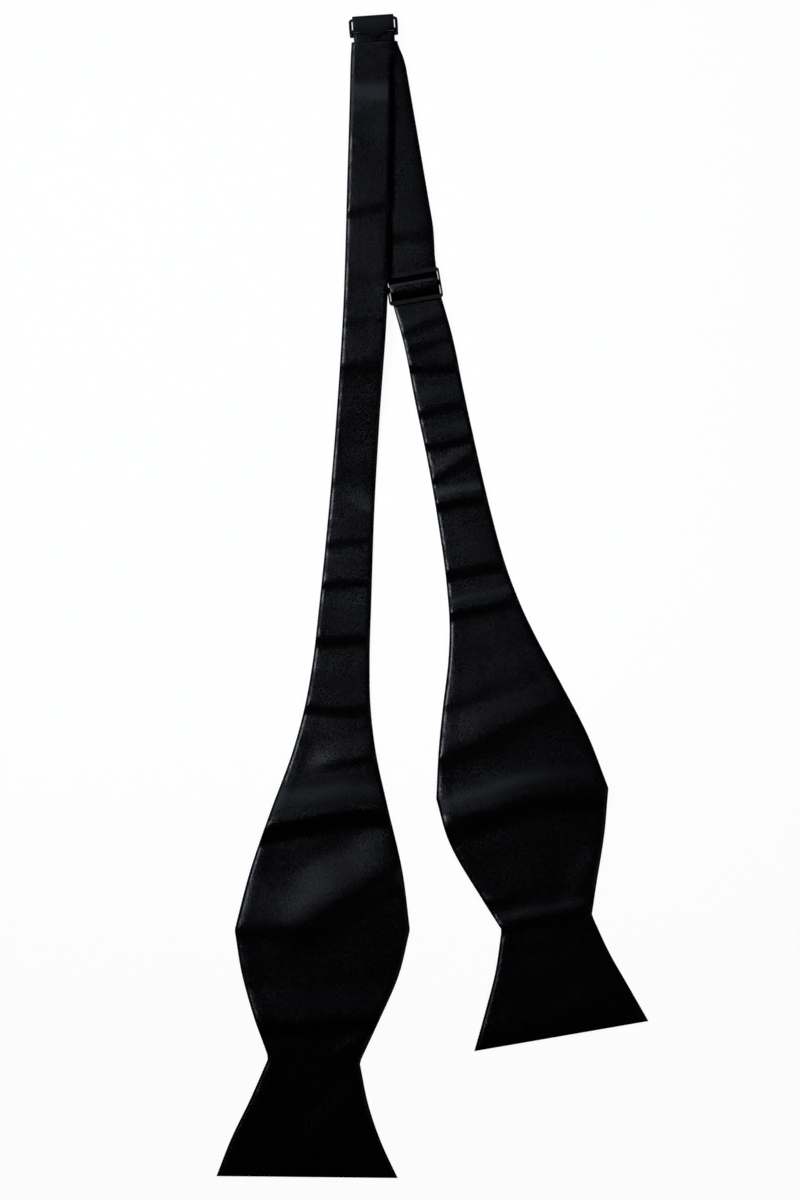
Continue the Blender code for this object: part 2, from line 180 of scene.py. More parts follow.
def smooth_step(low: float, high: float, value: np.ndarray | float) -> np.ndarray:
    """Rise smoothly from 0 at low to 1 at high."""
    share = np.clip((np.asarray(value, float) - low) / (high - low), 0.0, 1.0)
    return share * share * (3.0 - 2.0 * share)


def arc(centre: Pair, radius: float, start: float, end: float, count: int) -> list:
    """Points on an arc.

    Args:
        centre: The arc's centre.
        radius: Its radius.
        start: The first point's angle in degrees.
        end: The last point's angle in degrees.
        count: How many steps the arc takes.

    Returns:
        The points, in order.
    """
    angles = np.radians(np.linspace(start, end, count + 1))
    return [(centre[0] + radius * math.cos(a), centre[1] + radius * math.sin(a)) for a in angles]


def round_corners(half: float, near: float, far: float, corner: float, steps: int) -> list[Pair]:
    """The outline of a rectangle with round corners.

    Args:
        half: Half its width.
        near: Its lower edge.
        far: Its upper edge.
        corner: The radius of its corners.
        steps: How many steps each corner takes.

    Returns:
        Its points, in order.
    """
    right, left, top, bottom = half - corner, -half + corner, far - corner, near + corner
    outline = []
    for turn, centre in enumerate(((right, top), (left, top), (left, bottom), (right, bottom))):
        outline += arc(centre, corner, 90.0 * turn, 90.0 * turn + 90.0, steps)
    return outline


def travelled(path: np.ndarray) -> np.ndarray:
    """How far along a path each of its points lies."""
    steps = np.linalg.norm(np.diff(path, axis=0), axis=1)
    return np.concatenate([[0.0], np.cumsum(steps)])


def raised(place: np.ndarray, height: np.ndarray) -> np.ndarray:
    """Give each place on the table its height."""
    return np.concatenate([place, height[..., None]], -1)


def pillow_ring(half: float, thick: float, sides: int = 20, square: float = 3.2) -> np.ndarray:
    """A flattened round section.

    Args:
        half: Half its width.
        thick: Its thickness.
        sides: How many points it has.
        square: How square its corners are. 2 is an ellipse.

    Returns:
        Its points, as (across, up).
    """
    angles = np.linspace(0.0, 2.0 * math.pi, sides, endpoint=False) + math.pi / sides
    cos, sin = np.cos(angles), np.sin(angles)
    across = np.sign(cos) * np.abs(cos) ** (2.0 / square) * half
    up = np.sign(sin) * np.abs(sin) ** (2.0 / square) * thick / 2.0
    return np.stack([across, up], -1)


def swept(
    path: np.ndarray, side: np.ndarray, sections: Sequence[np.ndarray], closed: bool = False
) -> np.ndarray:
    """Carry a section along a path.

    Args:
        path: The path's points.
        side: The across direction at each point.
        sections: The section at each point, as (across, up).
        closed: Whether the path is a loop.

    Returns:
        The rings, one after another, as rows of three.
    """
    if closed:
        along = np.roll(path, -1, axis=0) - np.roll(path, 1, axis=0)
    else:
        along = np.gradient(path, axis=0)
    along /= np.linalg.norm(along, axis=1, keepdims=True)
    up = np.cross(side, along)
    up /= np.linalg.norm(up, axis=1, keepdims=True)
    rings = [
        place + np.outer(section[:, 0], s) + np.outer(section[:, 1], u)
        for place, s, u, section in zip(path, side, up, sections)
    ]
    return np.concatenate(rings)


# --- finishes


class NodeBench:
    """A small helper that lays out the nodes of one material."""

    TINT_BAND = (0.3, 0.7)

    def __init__(self, name: str) -> None:
        """Start a material with one principled shader.

        Args:
            name: The material's name.
        """
        self.material = bpy.data.materials.new(name)
        self.material.use_nodes = True
        self.tree = self.material.node_tree
        self.shader = self.tree.nodes["Principled BSDF"]

    def join(self, source: Socket, target: Socket) -> None:
        """Link two sockets."""
        self.tree.links.new(source, target)

    def node(self, kind: str, inputs: dict[str | int, object], **settings: str) -> bpy.types.Node:
        """Add a node.

        Args:
            kind: The node's type.
            inputs: A number, a colour or a socket for each input that is set.
            settings: Its own properties, by name.

        Returns:
            The new node.
        """
        made = self.tree.nodes.new(kind)
        for name, value in settings.items():
            setattr(made, name, value)
        for name, value in inputs.items():
            if isinstance(value, Socket):
                self.join(value, made.inputs[name])
            else:
                made.inputs[name].default_value = value
        return made

    def cloth_place(self, scale: Triple) -> Socket:
        """Where a point lies on the flat cloth, scaled for a texture."""
        place = self.node("ShaderNodeUVMap", {}, uv_map="cloth").outputs["UV"]
        return self.node("ShaderNodeMapping", {"Vector": place, "Scale": scale}).outputs["Vector"]

    def solid_place(self) -> Socket:
        """Where a point lies in space, for pieces that are not cut from cloth."""
        return self.node("ShaderNodeTexCoord", {}).outputs["Object"]

    def noise(self, place: Socket, scale: float, detail: float) -> Socket:
        """Cloudy values from 0 to 1 at a place."""
        values = {"Vector": place, "Scale": scale, "Detail": detail}
        return self.node("ShaderNodeTexNoise", values).outputs["Fac"]

    def roughen(self, source: Socket, low: float, high: float) -> None:
        """Let a 0 to 1 value set the shader's roughness between low and high."""
        made = self.node("ShaderNodeMapRange", {"To Min": low, "To Max": high, "Value": source})
        self.join(made.outputs["Result"], self.shader.inputs["Roughness"])

    def tint(self, source: Socket, dark: Triple, light: Triple) -> None:
        """Colour the shader from a 0 to 1 value.

        Args:
            source: The value.
            dark: The colour where it is low.
            light: The colour where it is high.
        """
        ramp = self.node("ShaderNodeValToRGB", {"Fac": source})
        elements = ramp.color_ramp.elements
        for element, position, colour in zip(elements, self.TINT_BAND, (dark, light)):
            element.position = position
            element.color = (*colour, 1.0)
        self.join(ramp.outputs["Color"], self.shader.inputs["Base Color"])

    def relief(
        self, source: Socket, strength: float, depth: float, under: Socket | None = None
    ) -> Socket:
        """Raise the surface by a height.

        Args:
            source: The height, from 0 to 1.
            strength: How much of it shows.
            depth: How deep it is, in metres.
            under: A coarser relief that this one lies on.

        Returns:
            The relief, for a finer one to lie on.
        """
        values = {"Strength": strength, "Distance": depth, "Height": source}
        if under is not None:
            values["Normal"] = under
        normal = self.node("ShaderNodeBump", values).outputs["Normal"]
        self.join(normal, self.shader.inputs["Normal"])
        return normal

    def fixed(self, **values: float | tuple[float, ...]) -> None:
        """Set what is the same all over on the shader itself."""
        for name, value in values.items():
            self.shader.inputs[name.replace("_", " ")].default_value = value


@dataclass(frozen=True)
class Satin:
    """Black satin: long glossy floats that run along the cloth, with a soft cool sheen.

    The three scales are how often its shade, its grain and its floats repeat in a
    centimetre, across the cloth and along it.
    """

    name: str
    dark: Triple
    light: Triple
    roughness: Pair
    sheen: float
    shade_scale: Triple = (0.5, 0.28, 1.0)
    grain_scale: Triple = (1.0, 0.45, 1.0)
    grain_size: float = 24.0
    float_scale: Triple = (70.0, 13.0, 1.0)
    sheen_tint: tuple[float, ...] = (0.82, 0.88, 1.0, 1.0)

    def material(self) -> Material:
        """Make the satin's material.

        Returns:
            The material.
        """
        bench = NodeBench(self.name)
        shade = bench.noise(bench.cloth_place(self.shade_scale), 1.0, 3.0)
        bench.tint(shade, self.dark, self.light)
        grain = bench.noise(bench.cloth_place(self.grain_scale), self.grain_size, 3.0)
        bench.roughen(grain, *self.roughness)
        floats = bench.noise(bench.cloth_place(self.float_scale), 1.0, 2.0)
        slubs = bench.relief(grain, 0.2, 0.0001)
        bench.relief(floats, 0.22, 0.00004, slubs)
        bench.fixed(Specular_IOR_Level=0.5, Sheen_Weight=self.sheen, Sheen_Roughness=0.45)
        bench.fixed(Sheen_Tint=self.sheen_tint)
        return bench.material


@dataclass(frozen=True)
class Canvas:
    """Charcoal interlining: a plain open weave, matt and a little hairy."""

    name: str = "charcoal_canvas"
    dark: Triple = (0.028, 0.029, 0.032)
    light: Triple = (0.062, 0.062, 0.066)
    threads_per_cm: float = 14.0
    unevenness: float = 0.6

    def material(self) -> Material:
        """Make the interlining's material.

        Returns:
            The material.
        """
        bench = NodeBench(self.name)
        place = bench.cloth_place((1.0, 1.0, 1.0))
        weave = {
            "Scale": self.threads_per_cm / 2.0,
            "Distortion": self.unevenness,
            "Vector": place,
        }
        warp, weft = (
            bench.node("ShaderNodeTexWave", weave, bands_direction=way).outputs["Fac"]
            for way in "XY"
        )
        crossing = bench.node("ShaderNodeMath", {0: warp, 1: weft}, operation="MULTIPLY")
        threads = crossing.outputs["Value"]
        bench.tint(threads, self.dark, self.light)
        bench.relief(threads, 0.6, 0.00015)
        bench.fixed(Roughness=0.9, Specular_IOR_Level=0.2, Sheen_Weight=0.3)
        return bench.material


@dataclass(frozen=True)
class Thread:
    """Black sewing thread, twisted and faintly glossy."""

    name: str = "black_thread"
    dark: Triple = (0.004, 0.004, 0.005)
    light: Triple = (0.013, 0.013, 0.015)
    ply_size: float = 9000.0

    def material(self) -> Material:
        """Make the thread's material.

        Returns:
            The material.
        """
        bench = NodeBench(self.name)
        ply = bench.noise(bench.solid_place(), self.ply_size, 2.0)
        bench.tint(ply, self.dark, self.light)
        bench.relief(ply, 0.5, 0.00003)
        bench.fixed(Roughness=0.55, Sheen_Weight=0.2)
        return bench.material


@dataclass(frozen=True)
class Enamel:
    """Black enamel baked on metal: half glossy, with slight waves and fine rubs."""

    name: str = "black_enamel"
    dark: Triple = (0.004, 0.004, 0.0045)
    light: Triple = (0.012, 0.012, 0.013)
    roughness: Pair = (0.32, 0.45)
    wave_size: float = 700.0
    rub_size: float = 4200.0

    def material(self) -> Material:
        """Make the enamel's material.

        Returns:
            The material.
        """
        bench = NodeBench(self.name)
        waves = bench.noise(bench.solid_place(), self.wave_size, 3.0)
        rubs = bench.noise(bench.solid_place(), self.rub_size, 4.0)
        bench.tint(rubs, self.dark, self.light)
        bench.roughen(rubs, *self.roughness)
        bench.relief(waves, 0.25, 0.00005)
        bench.fixed(Specular_IOR_Level=0.28)
        return bench.material


FACE_SATIN = Satin(
    "black_satin", (0.0004, 0.0004, 0.0006), (0.0011, 0.0012, 0.0018), (0.23, 0.31), 0.0
)
BACK_SATIN = Satin(
    "black_satin_back", (0.0012, 0.0012, 0.0015), (0.0022, 0.0023, 0.0028), (0.4, 0.5), 0.02
)


@dataclass(frozen=True)
class Finishes:
    """Every finish on the tie, ready to wear."""

    face: Material
    back: Material
    canvas: Material
    thread: Material
    enamel: Material

    @classmethod
    def mixed(cls) -> "Finishes":
        """Make all the finishes."""
        finishes = (FACE_SATIN, BACK_SATIN, Canvas(), Thread(), Enamel())
        return cls(*(finish.material() for finish in finishes))


# --- the run of a half


@dataclass(frozen=True)
class Station:
    """A place along a half: its middle, how far its cross line leans, and its half width."""

    x: float
    y: float
    lean: float
    half: float
    corner: bool = False


@dataclass(frozen=True)
class Fold:
    """A soft ridge that the cloth keeps from being packed and worn.

    x and y are a point of its crest, lean is how far the crest tips up to the right in
    degrees, and bend curves it. neck_side and tip_side are how far its slopes run on each
    side, and reach is how far along its crest it lasts.
    """

    x: float
    y: float
    lean: float
    height: float
    neck_side: float
    tip_side: float
    reach: float = 70.0
    bend: float = 0.0


@dataclass(frozen=True)
class Folds:
    """All the ridges of one length of cloth, and the faint unevenness between them.

    waves are two slow waves: how fast each runs across, how fast it runs along, and its
    share of the phase. wobble is how far a crest strays, and wobble_rate how often.
    """

    ridges: tuple[Fold, ...]
    unevenness: float = 0.1
    wobble: float = 0.35
    wobble_rate: float = 0.2
    phase: float = 0.0
    waves: tuple[Triple, Triple] = ((0.21, 0.083, 1.0), (-0.11, 0.31, 1.7))

    def rise(self, x: np.ndarray, y: np.ndarray) -> np.ndarray:
        """How far the cloth stands above its flat place, never below it.

        Args:
            x: Where the points are from left to right.
            y: Where they are from tip to neck.

        Returns:
            Their heights above the flat cloth.
        """
        wander = sum(np.sin(x * a + y * b + share * self.phase) for a, b, share in self.waves)
        total = self.unevenness * (1.0 + 0.5 * wander)
        for fold in self.ridges:
            lean = math.radians(fold.lean)
            dx, dy = x - fold.x, y - fold.y
            along = dx * math.cos(lean) + dy * math.sin(lean)
            off = dy * math.cos(lean) - dx * math.sin(lean) - fold.bend * along**2
            off = off + self.wobble * np.sin(along * self.wobble_rate + fold.x)
            ratio = np.where(off > 0.0, off / fold.neck_side, -off / fold.tip_side)
            profile = 0.5 + 0.5 * np.cos(math.pi * np.minimum(ratio, 1.0))
            lasting = np.exp(-((along / fold.reach) ** 4))
            total = total + fold.height * profile * lasting
        return total


class Course:
    """Closely spaced cross lines along a smooth curve through the stations of a half."""

    def __init__(self, stations: Sequence[Station], spacing: float) -> None:
        """Lay out the cross lines.

        Args:
            stations: The places the half's outline goes through.
            spacing: How far apart the cross lines are.
        """
        steps = [math.hypot(b.x - a.x, b.y - a.y) for a, b in zip(stations, stations[1:])]
        places = np.concatenate([[0.0], np.cumsum(steps)])
        shares = self._spread_rows(places, spacing)
        columns = [
            self._curve(places, [getattr(s, name) for s in stations], stations, shares)
            for name in ("x", "y", "lean", "half")
        ]
        self.middle = np.stack(columns[:2], -1)
        self.lean = np.radians(columns[2])
        self.half = columns[3]
        self.along = shares
        self.side = np.stack([np.cos(self.lean), np.sin(self.lean)], -1)

    @staticmethod
    def _spread_rows(places: np.ndarray, spacing: float) -> np.ndarray:
        """Even places along the half, closer together where the tip edge rolls over.

        Args:
            places: How far along the half each station lies.
            spacing: How far apart the even places are.

        Returns:
            The places.
        """
        close = np.array([0.0, 0.12, 0.35, 0.7, 1.15, 1.7, 2.4])
        count = round((places[-1] - close[-1]) / spacing)
        return np.concatenate([close, np.linspace(close[-1], places[-1], count + 1)[1:]])

    @staticmethod
    def _curve(
        places: np.ndarray, values: Sequence[float], stations: Sequence[Station], at: np.ndarray
    ) -> np.ndarray:
        """A smooth curve through values at places, broken at the corner stations.

        Args:
            places: How far along the half each station lies.
            values: The value at each station.
            stations: The stations, of which some are corners.
            at: Where the curve is read.

        Returns:
            The curve's value at each of those places.
        """
        values = np.asarray(values, float)
        grades = np.diff(values) / np.diff(places)
        leaving, arriving = np.empty(len(values)), np.empty(len(values))
        for i, station in enumerate(stations):
            before = grades[max(i - 1, 0)]
            after = grades[min(i, len(grades) - 1)]
            if station.corner or i in (0, len(values) - 1):
                arriving[i], leaving[i] = before, after
                continue
            back, ahead = places[i] - places[i - 1], places[i + 1] - places[i]
            arriving[i] = leaving[i] = (before * ahead + after * back) / (back + ahead)
        slot = np.clip(np.searchsorted(places, at, side="right") - 1, 0, len(grades) - 1)
        step = places[slot + 1] - places[slot]
        t = (at - places[slot]) / step
        return (
            (2 * t**3 - 3 * t**2 + 1) * values[slot]
            + (t**3 - 2 * t**2 + t) * step * leaving[slot]
            + (3 * t**2 - 2 * t**3) * values[slot + 1]
            + (t**3 - t**2) * step * arriving[slot + 1]
        )

    def grid(self, across: np.ndarray, half: np.ndarray) -> np.ndarray:
        """Points on the cross lines, at shares from -1 to 1 of a half width."""
        return self.middle[:, None] + self.side[:, None] * (half[:, None] * across)[..., None]

    def keep(self, wanted: np.ndarray) -> None:
        """Keep only the wanted cross lines."""
        for name in ("middle", "lean", "half", "along", "side"):
            setattr(self, name, getattr(self, name)[wanted])

    def flat(self, across: np.ndarray) -> np.ndarray:
        """Where the points of a grid lie on the flat cloth.

        Args:
            across: Where they lie on a cross line, from -1 to 1.

        Returns:
            Their places in centimetres, for the outer and then the inner face.
        """
        wide = self.half[:, None] * across
        along = np.broadcast_to(self.along[:, None], wide.shape)
        flat = np.stack([wide, along], -1).reshape(-1, 2) / MM_PER_CM
        return np.concatenate([flat, flat])


class Layer(Enum):
    """Which face of a half a cloth makes."""

    FRONT = 1.0
    BACK = -1.0


# The outline of each half, the same places as the frame's own solids go through.
LEFT_STATIONS = (
    Station(-49.9, -232.6, -0.6, 36.3, corner=True),
    Station(-50.3, -217.6, -1.2, 29.9),
    Station(-49.2, -203.6, -2.0, 24.1),
    Station(-47.1, -185.8, -3.0, 18.3, corner=True),
    Station(-46.1, -169.6, -1.5, 24.9),
    Station(-44.6, -151.6, -0.5, 31.4),
    Station(-43.8, -133.6, 0.0, 35.1, corner=True),
    Station(-42.2, -109.6, 0.0, 30.4),
    Station(-40.8, -85.6, 0.0, 23.5),
    Station(-39.0, -61.6, 0.0, 16.5),
    Station(-37.6, -43.6, 0.5, 13.1),
    Station(-36.2, -25.6, 1.5, 11.4),
    Station(-34.5, -1.6, 3.0, 10.4),
    Station(-32.1, 34.4, 3.5, 9.2),
    Station(-29.7, 68.4, 3.5, 8.75),
    Station(-26.7, 112.4, 2.5, 8.8),
    Station(-25.1, 166.4, 1.5, 8.65),
    Station(-24.3, 198.4, 1.5, 8.5),
    Station(-24.0, 214.1, 3.0, 8.45),
    Station(-23.7, 221.6, 4.0, 8.4),
)
RIGHT_STATIONS = (
    Station(51.9, -176.2, 9.8, 35.4, corner=True),
    Station(49.8, -158.6, 9.9, 28.0),
    Station(48.4, -147.6, 9.8, 23.5),
    Station(46.0, -130.6, 9.5, 18.3, corner=True),
    Station(43.1, -118.6, 7.6, 23.0),
    Station(38.0, -95.2, 4.4, 31.5),
    Station(36.2, -79.0, 3.7, 34.5, corner=True),
    Station(32.6, -58.6, 5.8, 30.0),
    Station(28.3, -39.6, 9.6, 24.1),
    Station(24.5, -21.6, 12.6, 18.3),
    Station(22.0, -10.0, 13.6, 15.3),
    Station(18.1, 7.4, 13.8, 12.5),
    Station(13.2, 31.0, 13.2, 10.8),
    Station(8.4, 54.8, 12.4, 10.05),
    Station(3.1, 79.7, 11.2, 9.95),
    Station(-1.6, 102.9, 9.8, 9.85),
    Station(-5.9, 118.3, 9.65, 9.8),
)

LEFT_FOLDS = Folds(
    (
        Fold(-24.0, 200.0, -15.0, 0.4, 14.0, 7.0),
        Fold(-29.0, 182.0, 0.0, 0.35, 8.0, 3.0),
        Fold(-26.0, 156.0, 14.0, 0.7, 20.0, 5.0),
        Fold(-26.0, 130.0, 5.0, 0.6, 16.0, 8.0),
        Fold(-27.5, 111.0, 5.0, 0.4, 9.0, 4.0),
        Fold(-28.0, 94.0, 5.0, 0.6, 14.0, 7.0),
        Fold(-33.0, 44.0, -28.0, 0.55, 12.0, 6.0),
        Fold(-33.0, 23.0, 6.0, 0.7, 10.0, 4.0),
        Fold(-33.0, 7.0, 2.0, 0.9, 10.0, 4.5),
        Fold(-35.0, -15.0, 0.0, 1.3, 13.0, 6.0),
        Fold(-36.0, -43.0, 0.0, 1.2, 15.0, 6.0),
        Fold(-30.0, -63.5, 14.0, 0.7, 9.0, 5.0, reach=16.0),
        Fold(-41.0, -86.5, 8.0, 3.0, 17.0, 8.0, bend=-0.003),
        Fold(-64.0, -131.0, 2.0, 0.9, 22.0, 9.0, reach=18.0),
        Fold(-31.0, -118.0, 33.0, 2.0, 20.0, 11.0, reach=27.0),
        Fold(-41.0, -169.5, 3.0, 1.5, 15.0, 6.0),
        Fold(-32.0, -180.5, 40.0, 0.5, 6.0, 4.0, reach=7.0),
        Fold(-39.0, -210.0, 45.0, 0.6, 12.0, 12.0, reach=18.0),
    ),
    phase=0.4,
)
RIGHT_FOLDS = Folds(
    (
        Fold(-1.0, 110.0, 25.0, 0.5, 6.0, 4.0),
        Fold(-1.0, 102.0, 18.0, 0.6, 6.0, 3.5),
        Fold(2.0, 93.0, 2.0, 1.0, 9.0, 4.0),
        Fold(5.0, 76.5, 14.0, 0.9, 11.0, 4.0),
        Fold(8.0, 63.0, 10.0, 1.2, 10.0, 4.0),
        Fold(10.5, 53.5, 30.0, 0.7, 6.0, 4.0),
        Fold(12.0, 39.0, 12.0, 1.3, 8.0, 4.0),
        Fold(16.0, 12.0, 8.0, 1.3, 12.0, 5.0),
        Fold(18.5, -4.0, 15.0, 1.2, 8.0, 4.0),
        Fold(27.0, -33.0, 20.0, 0.4, 12.0, 8.0),
        Fold(29.0, -51.0, 26.0, 1.0, 15.0, 8.0),
        Fold(35.0, -81.0, 13.5, 2.4, 14.0, 10.0, bend=-0.0035),
        Fold(27.0, -121.0, 8.0, 0.4, 4.0, 3.0, reach=6.0),
        Fold(43.0, -128.5, 12.0, 1.1, 6.0, 4.0),
        Fold(61.0, -114.0, 65.0, 0.4, 8.0, 8.0, reach=12.0),
        Fold(43.0, -170.0, 15.0, 0.4, 12.0, 8.0, bend=0.004),
    ),
    phase=2.1,
)
STRAP_FOLDS = Folds(
    (
        Fold(-7.0, 146.0, 5.0, 0.9, 14.0, 5.0),
        Fold(-3.0, 133.0, 15.0, 1.0, 7.0, 3.0),
    ),
    unevenness=0.05,
    phase=4.0,
)


# --- the sewn halves


@dataclass
class SewnHalf:
    """One half of the tie: front, back, interlining and the stitches inside its edges.

    lift, folds_fade and thinning say how high it lies, how much its folds show and how thin
    it is pressed at each place from tip to neck.
    """

    side: str
    folds: Folds
    finishes: Finishes
    lift: Callable[[np.ndarray], np.ndarray]
    folds_fade: Callable[[np.ndarray], np.ndarray]
    thinning: Callable[[np.ndarray], np.ndarray]
    sandwich: float = 1.7
    cloth: float = 0.36
    cloth_room: float = 0.02
    seam_gap: float = 0.05
    roll: float = 1.7
    crown: float = 0.3
    crown_reach: float = 9.0
    crown_widths: Pair = (8.0, 20.0)
    allowance: Pair = (4.6, 6.4)
    allowance_step: float = 0.08
    pucker: float = 0.05
    pucker_reach: float = 3.0
    spacings: Triple = (1.25, 2.0, 3.0)
    columns: tuple[int, int, int] = (37, 29, 17)
    canvas_level: Pair = (0.65, 1.05)
    canvas_inset: float = 2.4
    canvas_end: float = 1.5
    stitch_inset: float = 1.1
    stitch_arch: float = 0.12
    stitch: Triple = (2.3, 0.45, 0.1)

    def _thin(self, course: Course) -> np.ndarray:
        """How thin the half is pressed at each cross line."""
        return self.thinning(course.middle[:, 1])[:, None]

    def _rolled(self, distance: np.ndarray) -> np.ndarray:
        """The rounded turn of the cloth at an edge, from 0 at the edge to 1 inside it."""
        share = np.clip(distance / self.roll, 0.0, 1.0)
        return np.sqrt(1.0 - (1.0 - share) ** 2)

    def _seam_height(self, course: Course, x: np.ndarray, y: np.ndarray) -> np.ndarray:
        """Height of the plane in which the two faces meet at their edges.

        Args:
            course: The cross lines that the points lie on.
            x: Where the points are from left to right.
            y: Where they are from tip to neck.

        Returns:
            The height at each point.
        """
        middle = self.lift(course.middle[:, 1])[:, None]
        fade = self.folds_fade(course.middle[:, 1])[:, None]
        return middle + self.sandwich * self._thin(course) / 2.0 + self.folds.rise(x, y) * fade

    def _face_points(self, layer: Layer, course: Course, across: np.ndarray) -> tuple:
        """Build the points of the front or the back.

        Args:
            layer: Which face it is.
            course: The cross lines that it is built on.
            across: Where its points lie on a cross line, as shares of the half width.

        Returns:
            The points and the faces.
        """
        place = course.grid(across, course.half)
        seam = self._seam_height(course, place[..., 0], place[..., 1])
        from_side = course.half[:, None] * (1.0 - np.abs(across))
        from_tip = np.broadcast_to(course.along[:, None], from_side.shape)
        rolled = self._rolled(from_side) * self._rolled(from_tip)
        thin = self._thin(course)
        rise = self.sandwich * thin / 2.0
        if layer is Layer.FRONT:
            narrow, wide = self.crown_widths
            widest = np.clip((course.half[:, None] - narrow) / (wide - narrow), 0.15, 1.0)
            nearest = np.minimum(from_side, from_tip)
            rise = rise + self.crown * widest * thin * (1.0 - np.exp(-nearest / self.crown_reach))
            step = 1.0 - smooth_step(*self.allowance, nearest)
            rise = rise + self.allowance_step * step * widest
            gather = np.sin(course.along * 0.83) + np.sin(course.along * 1.37 + 1.0)
            rise = rise + self.pucker * gather[:, None] * np.exp(-from_side / self.pucker_reach)
        outer_z = seam + layer.value * (self.seam_gap + (rise - self.seam_gap) * rolled)
        inset = 1.0 - 0.6 * self.cloth / course.half
        inner = course.grid(across, course.half * inset)
        level = np.maximum((rise - self.cloth) * rolled - self.cloth_room, self.seam_gap * 0.3)
        inner_z = seam + layer.value * np.minimum(level, np.abs(outer_z - seam) - self.cloth_room)
        return shell(raised(place, outer_z), raised(inner, inner_z))

    def make_face(self, layer: Layer, stations: Sequence[Station]) -> tuple[Piece, Course]:
        """Make the front or the back.

        Args:
            layer: Which face it is.
            stations: The places it is cut through.

        Returns:
            The piece, and the course it was cut along.
        """
        front = layer is Layer.FRONT
        course = Course(stations, self.spacings[0 if front else 1])
        columns = self.columns[0 if front else 1]
        across = np.sin(np.linspace(-1.0, 1.0, columns) * math.pi / 2.0)
        points, faces = self._face_points(layer, course, across)
        wear = self.finishes.face if front else self.finishes.back
        name = f"{self.side}_{layer.name.lower()}_satin"
        piece = add_piece(name, points, faces, wear, course.flat(across))
        return piece, course

    def make_canvas(self, stations: Sequence[Station]) -> tuple[Piece, Course]:
        """Make the interlining, a little smaller all round than the satin.

        Args:
            stations: The places it is cut through.

        Returns:
            The piece, and the course it was cut along.
        """
        course = Course(stations, self.spacings[2])
        end = course.along[-1] - self.canvas_end
        course.keep((course.along > self.canvas_inset) & (course.along < end))
        course.half = course.half - self.canvas_inset
        across = np.linspace(-1.0, 1.0, self.columns[2])
        place = course.grid(across, course.half)
        middle = self.sandwich / 2.0
        centre = self._seam_height(course, place[..., 0], place[..., 1])
        low, high = (centre + (z - middle) * self._thin(course) for z in self.canvas_level)
        points, faces = shell(raised(place, high), raised(place, low))
        flat = course.flat(across)
        piece = add_piece(f"{self.side}_canvas", points, faces, self.finishes.canvas, flat)
        return piece, course

    def make_stitches(self, stations: Sequence[Station]) -> Piece:
        """Sew the running stitches that join front to back just inside the edges.

        Args:
            stations: The places that the edges go through.

        Returns:
            The stitches.
        """
        course = Course(stations, 1.0)
        sewn = course.along > self.stitch_inset
        runs = []
        for sign in (-1.0, 1.0):
            edge = course.middle + course.side * (sign * (course.half - self.stitch_inset))[:, None]
            height = self._seam_height(course, edge[:, :1], edge[:, 1:])
            runs.append(np.column_stack([edge, height])[sewn])
        left, right = runs[0][::-1], runs[1]
        tip = np.linspace(left[-1], right[0], 60)[1:-1]
        first = float(self.lift(course.middle[:1, 1])[0])
        tip[:, 2] = first + self.sandwich / 2.0 + self.folds.rise(tip[:, 0], tip[:, 1])
        piece = self._sewn(np.concatenate([left, tip, right]))
        return piece

    def _sewn(self, path: np.ndarray) -> Piece:
        """Lay one short arched stitch after another along a path.

        Args:
            path: The line that the stitches follow.

        Returns:
            The stitches, as one piece.
        """
        length, gap, radius = self.stitch
        places = travelled(path)
        shares = np.array([0.0, 0.12, 0.5, 0.88, 1.0])
        widths = radius * np.array([0.45, 1.0, 1.0, 1.0, 0.45])
        sides = 5
        angles = np.linspace(0.0, 2.0 * math.pi, sides, endpoint=False)
        rings = [np.stack([np.cos(angles) * w, np.sin(angles) * w], -1) for w in widths]
        points, faces = [], []
        for number in range(int(places[-1] / (length + gap))):
            at = number * (length + gap) + shares * length
            spine = np.stack([np.interp(at, places, path[:, k]) for k in range(3)], -1)
            spine[:, 2] += self.stitch_arch * np.sin(shares * math.pi) * (1 if number % 2 else -1)
            side = np.cross([0.0, 0.0, 1.0], spine[-1] - spine[0])
            side /= np.linalg.norm(side)
            start = number * sides * len(shares)
            points.append(swept(spine, np.broadcast_to(side, spine.shape), rings))
            faces += [[c + start for c in f] for f in tube_faces(len(shares), sides, False)]
        name = f"{self.side}_seam_stitches"
        return add_piece(name, np.concatenate(points), faces, self.finishes.thread)


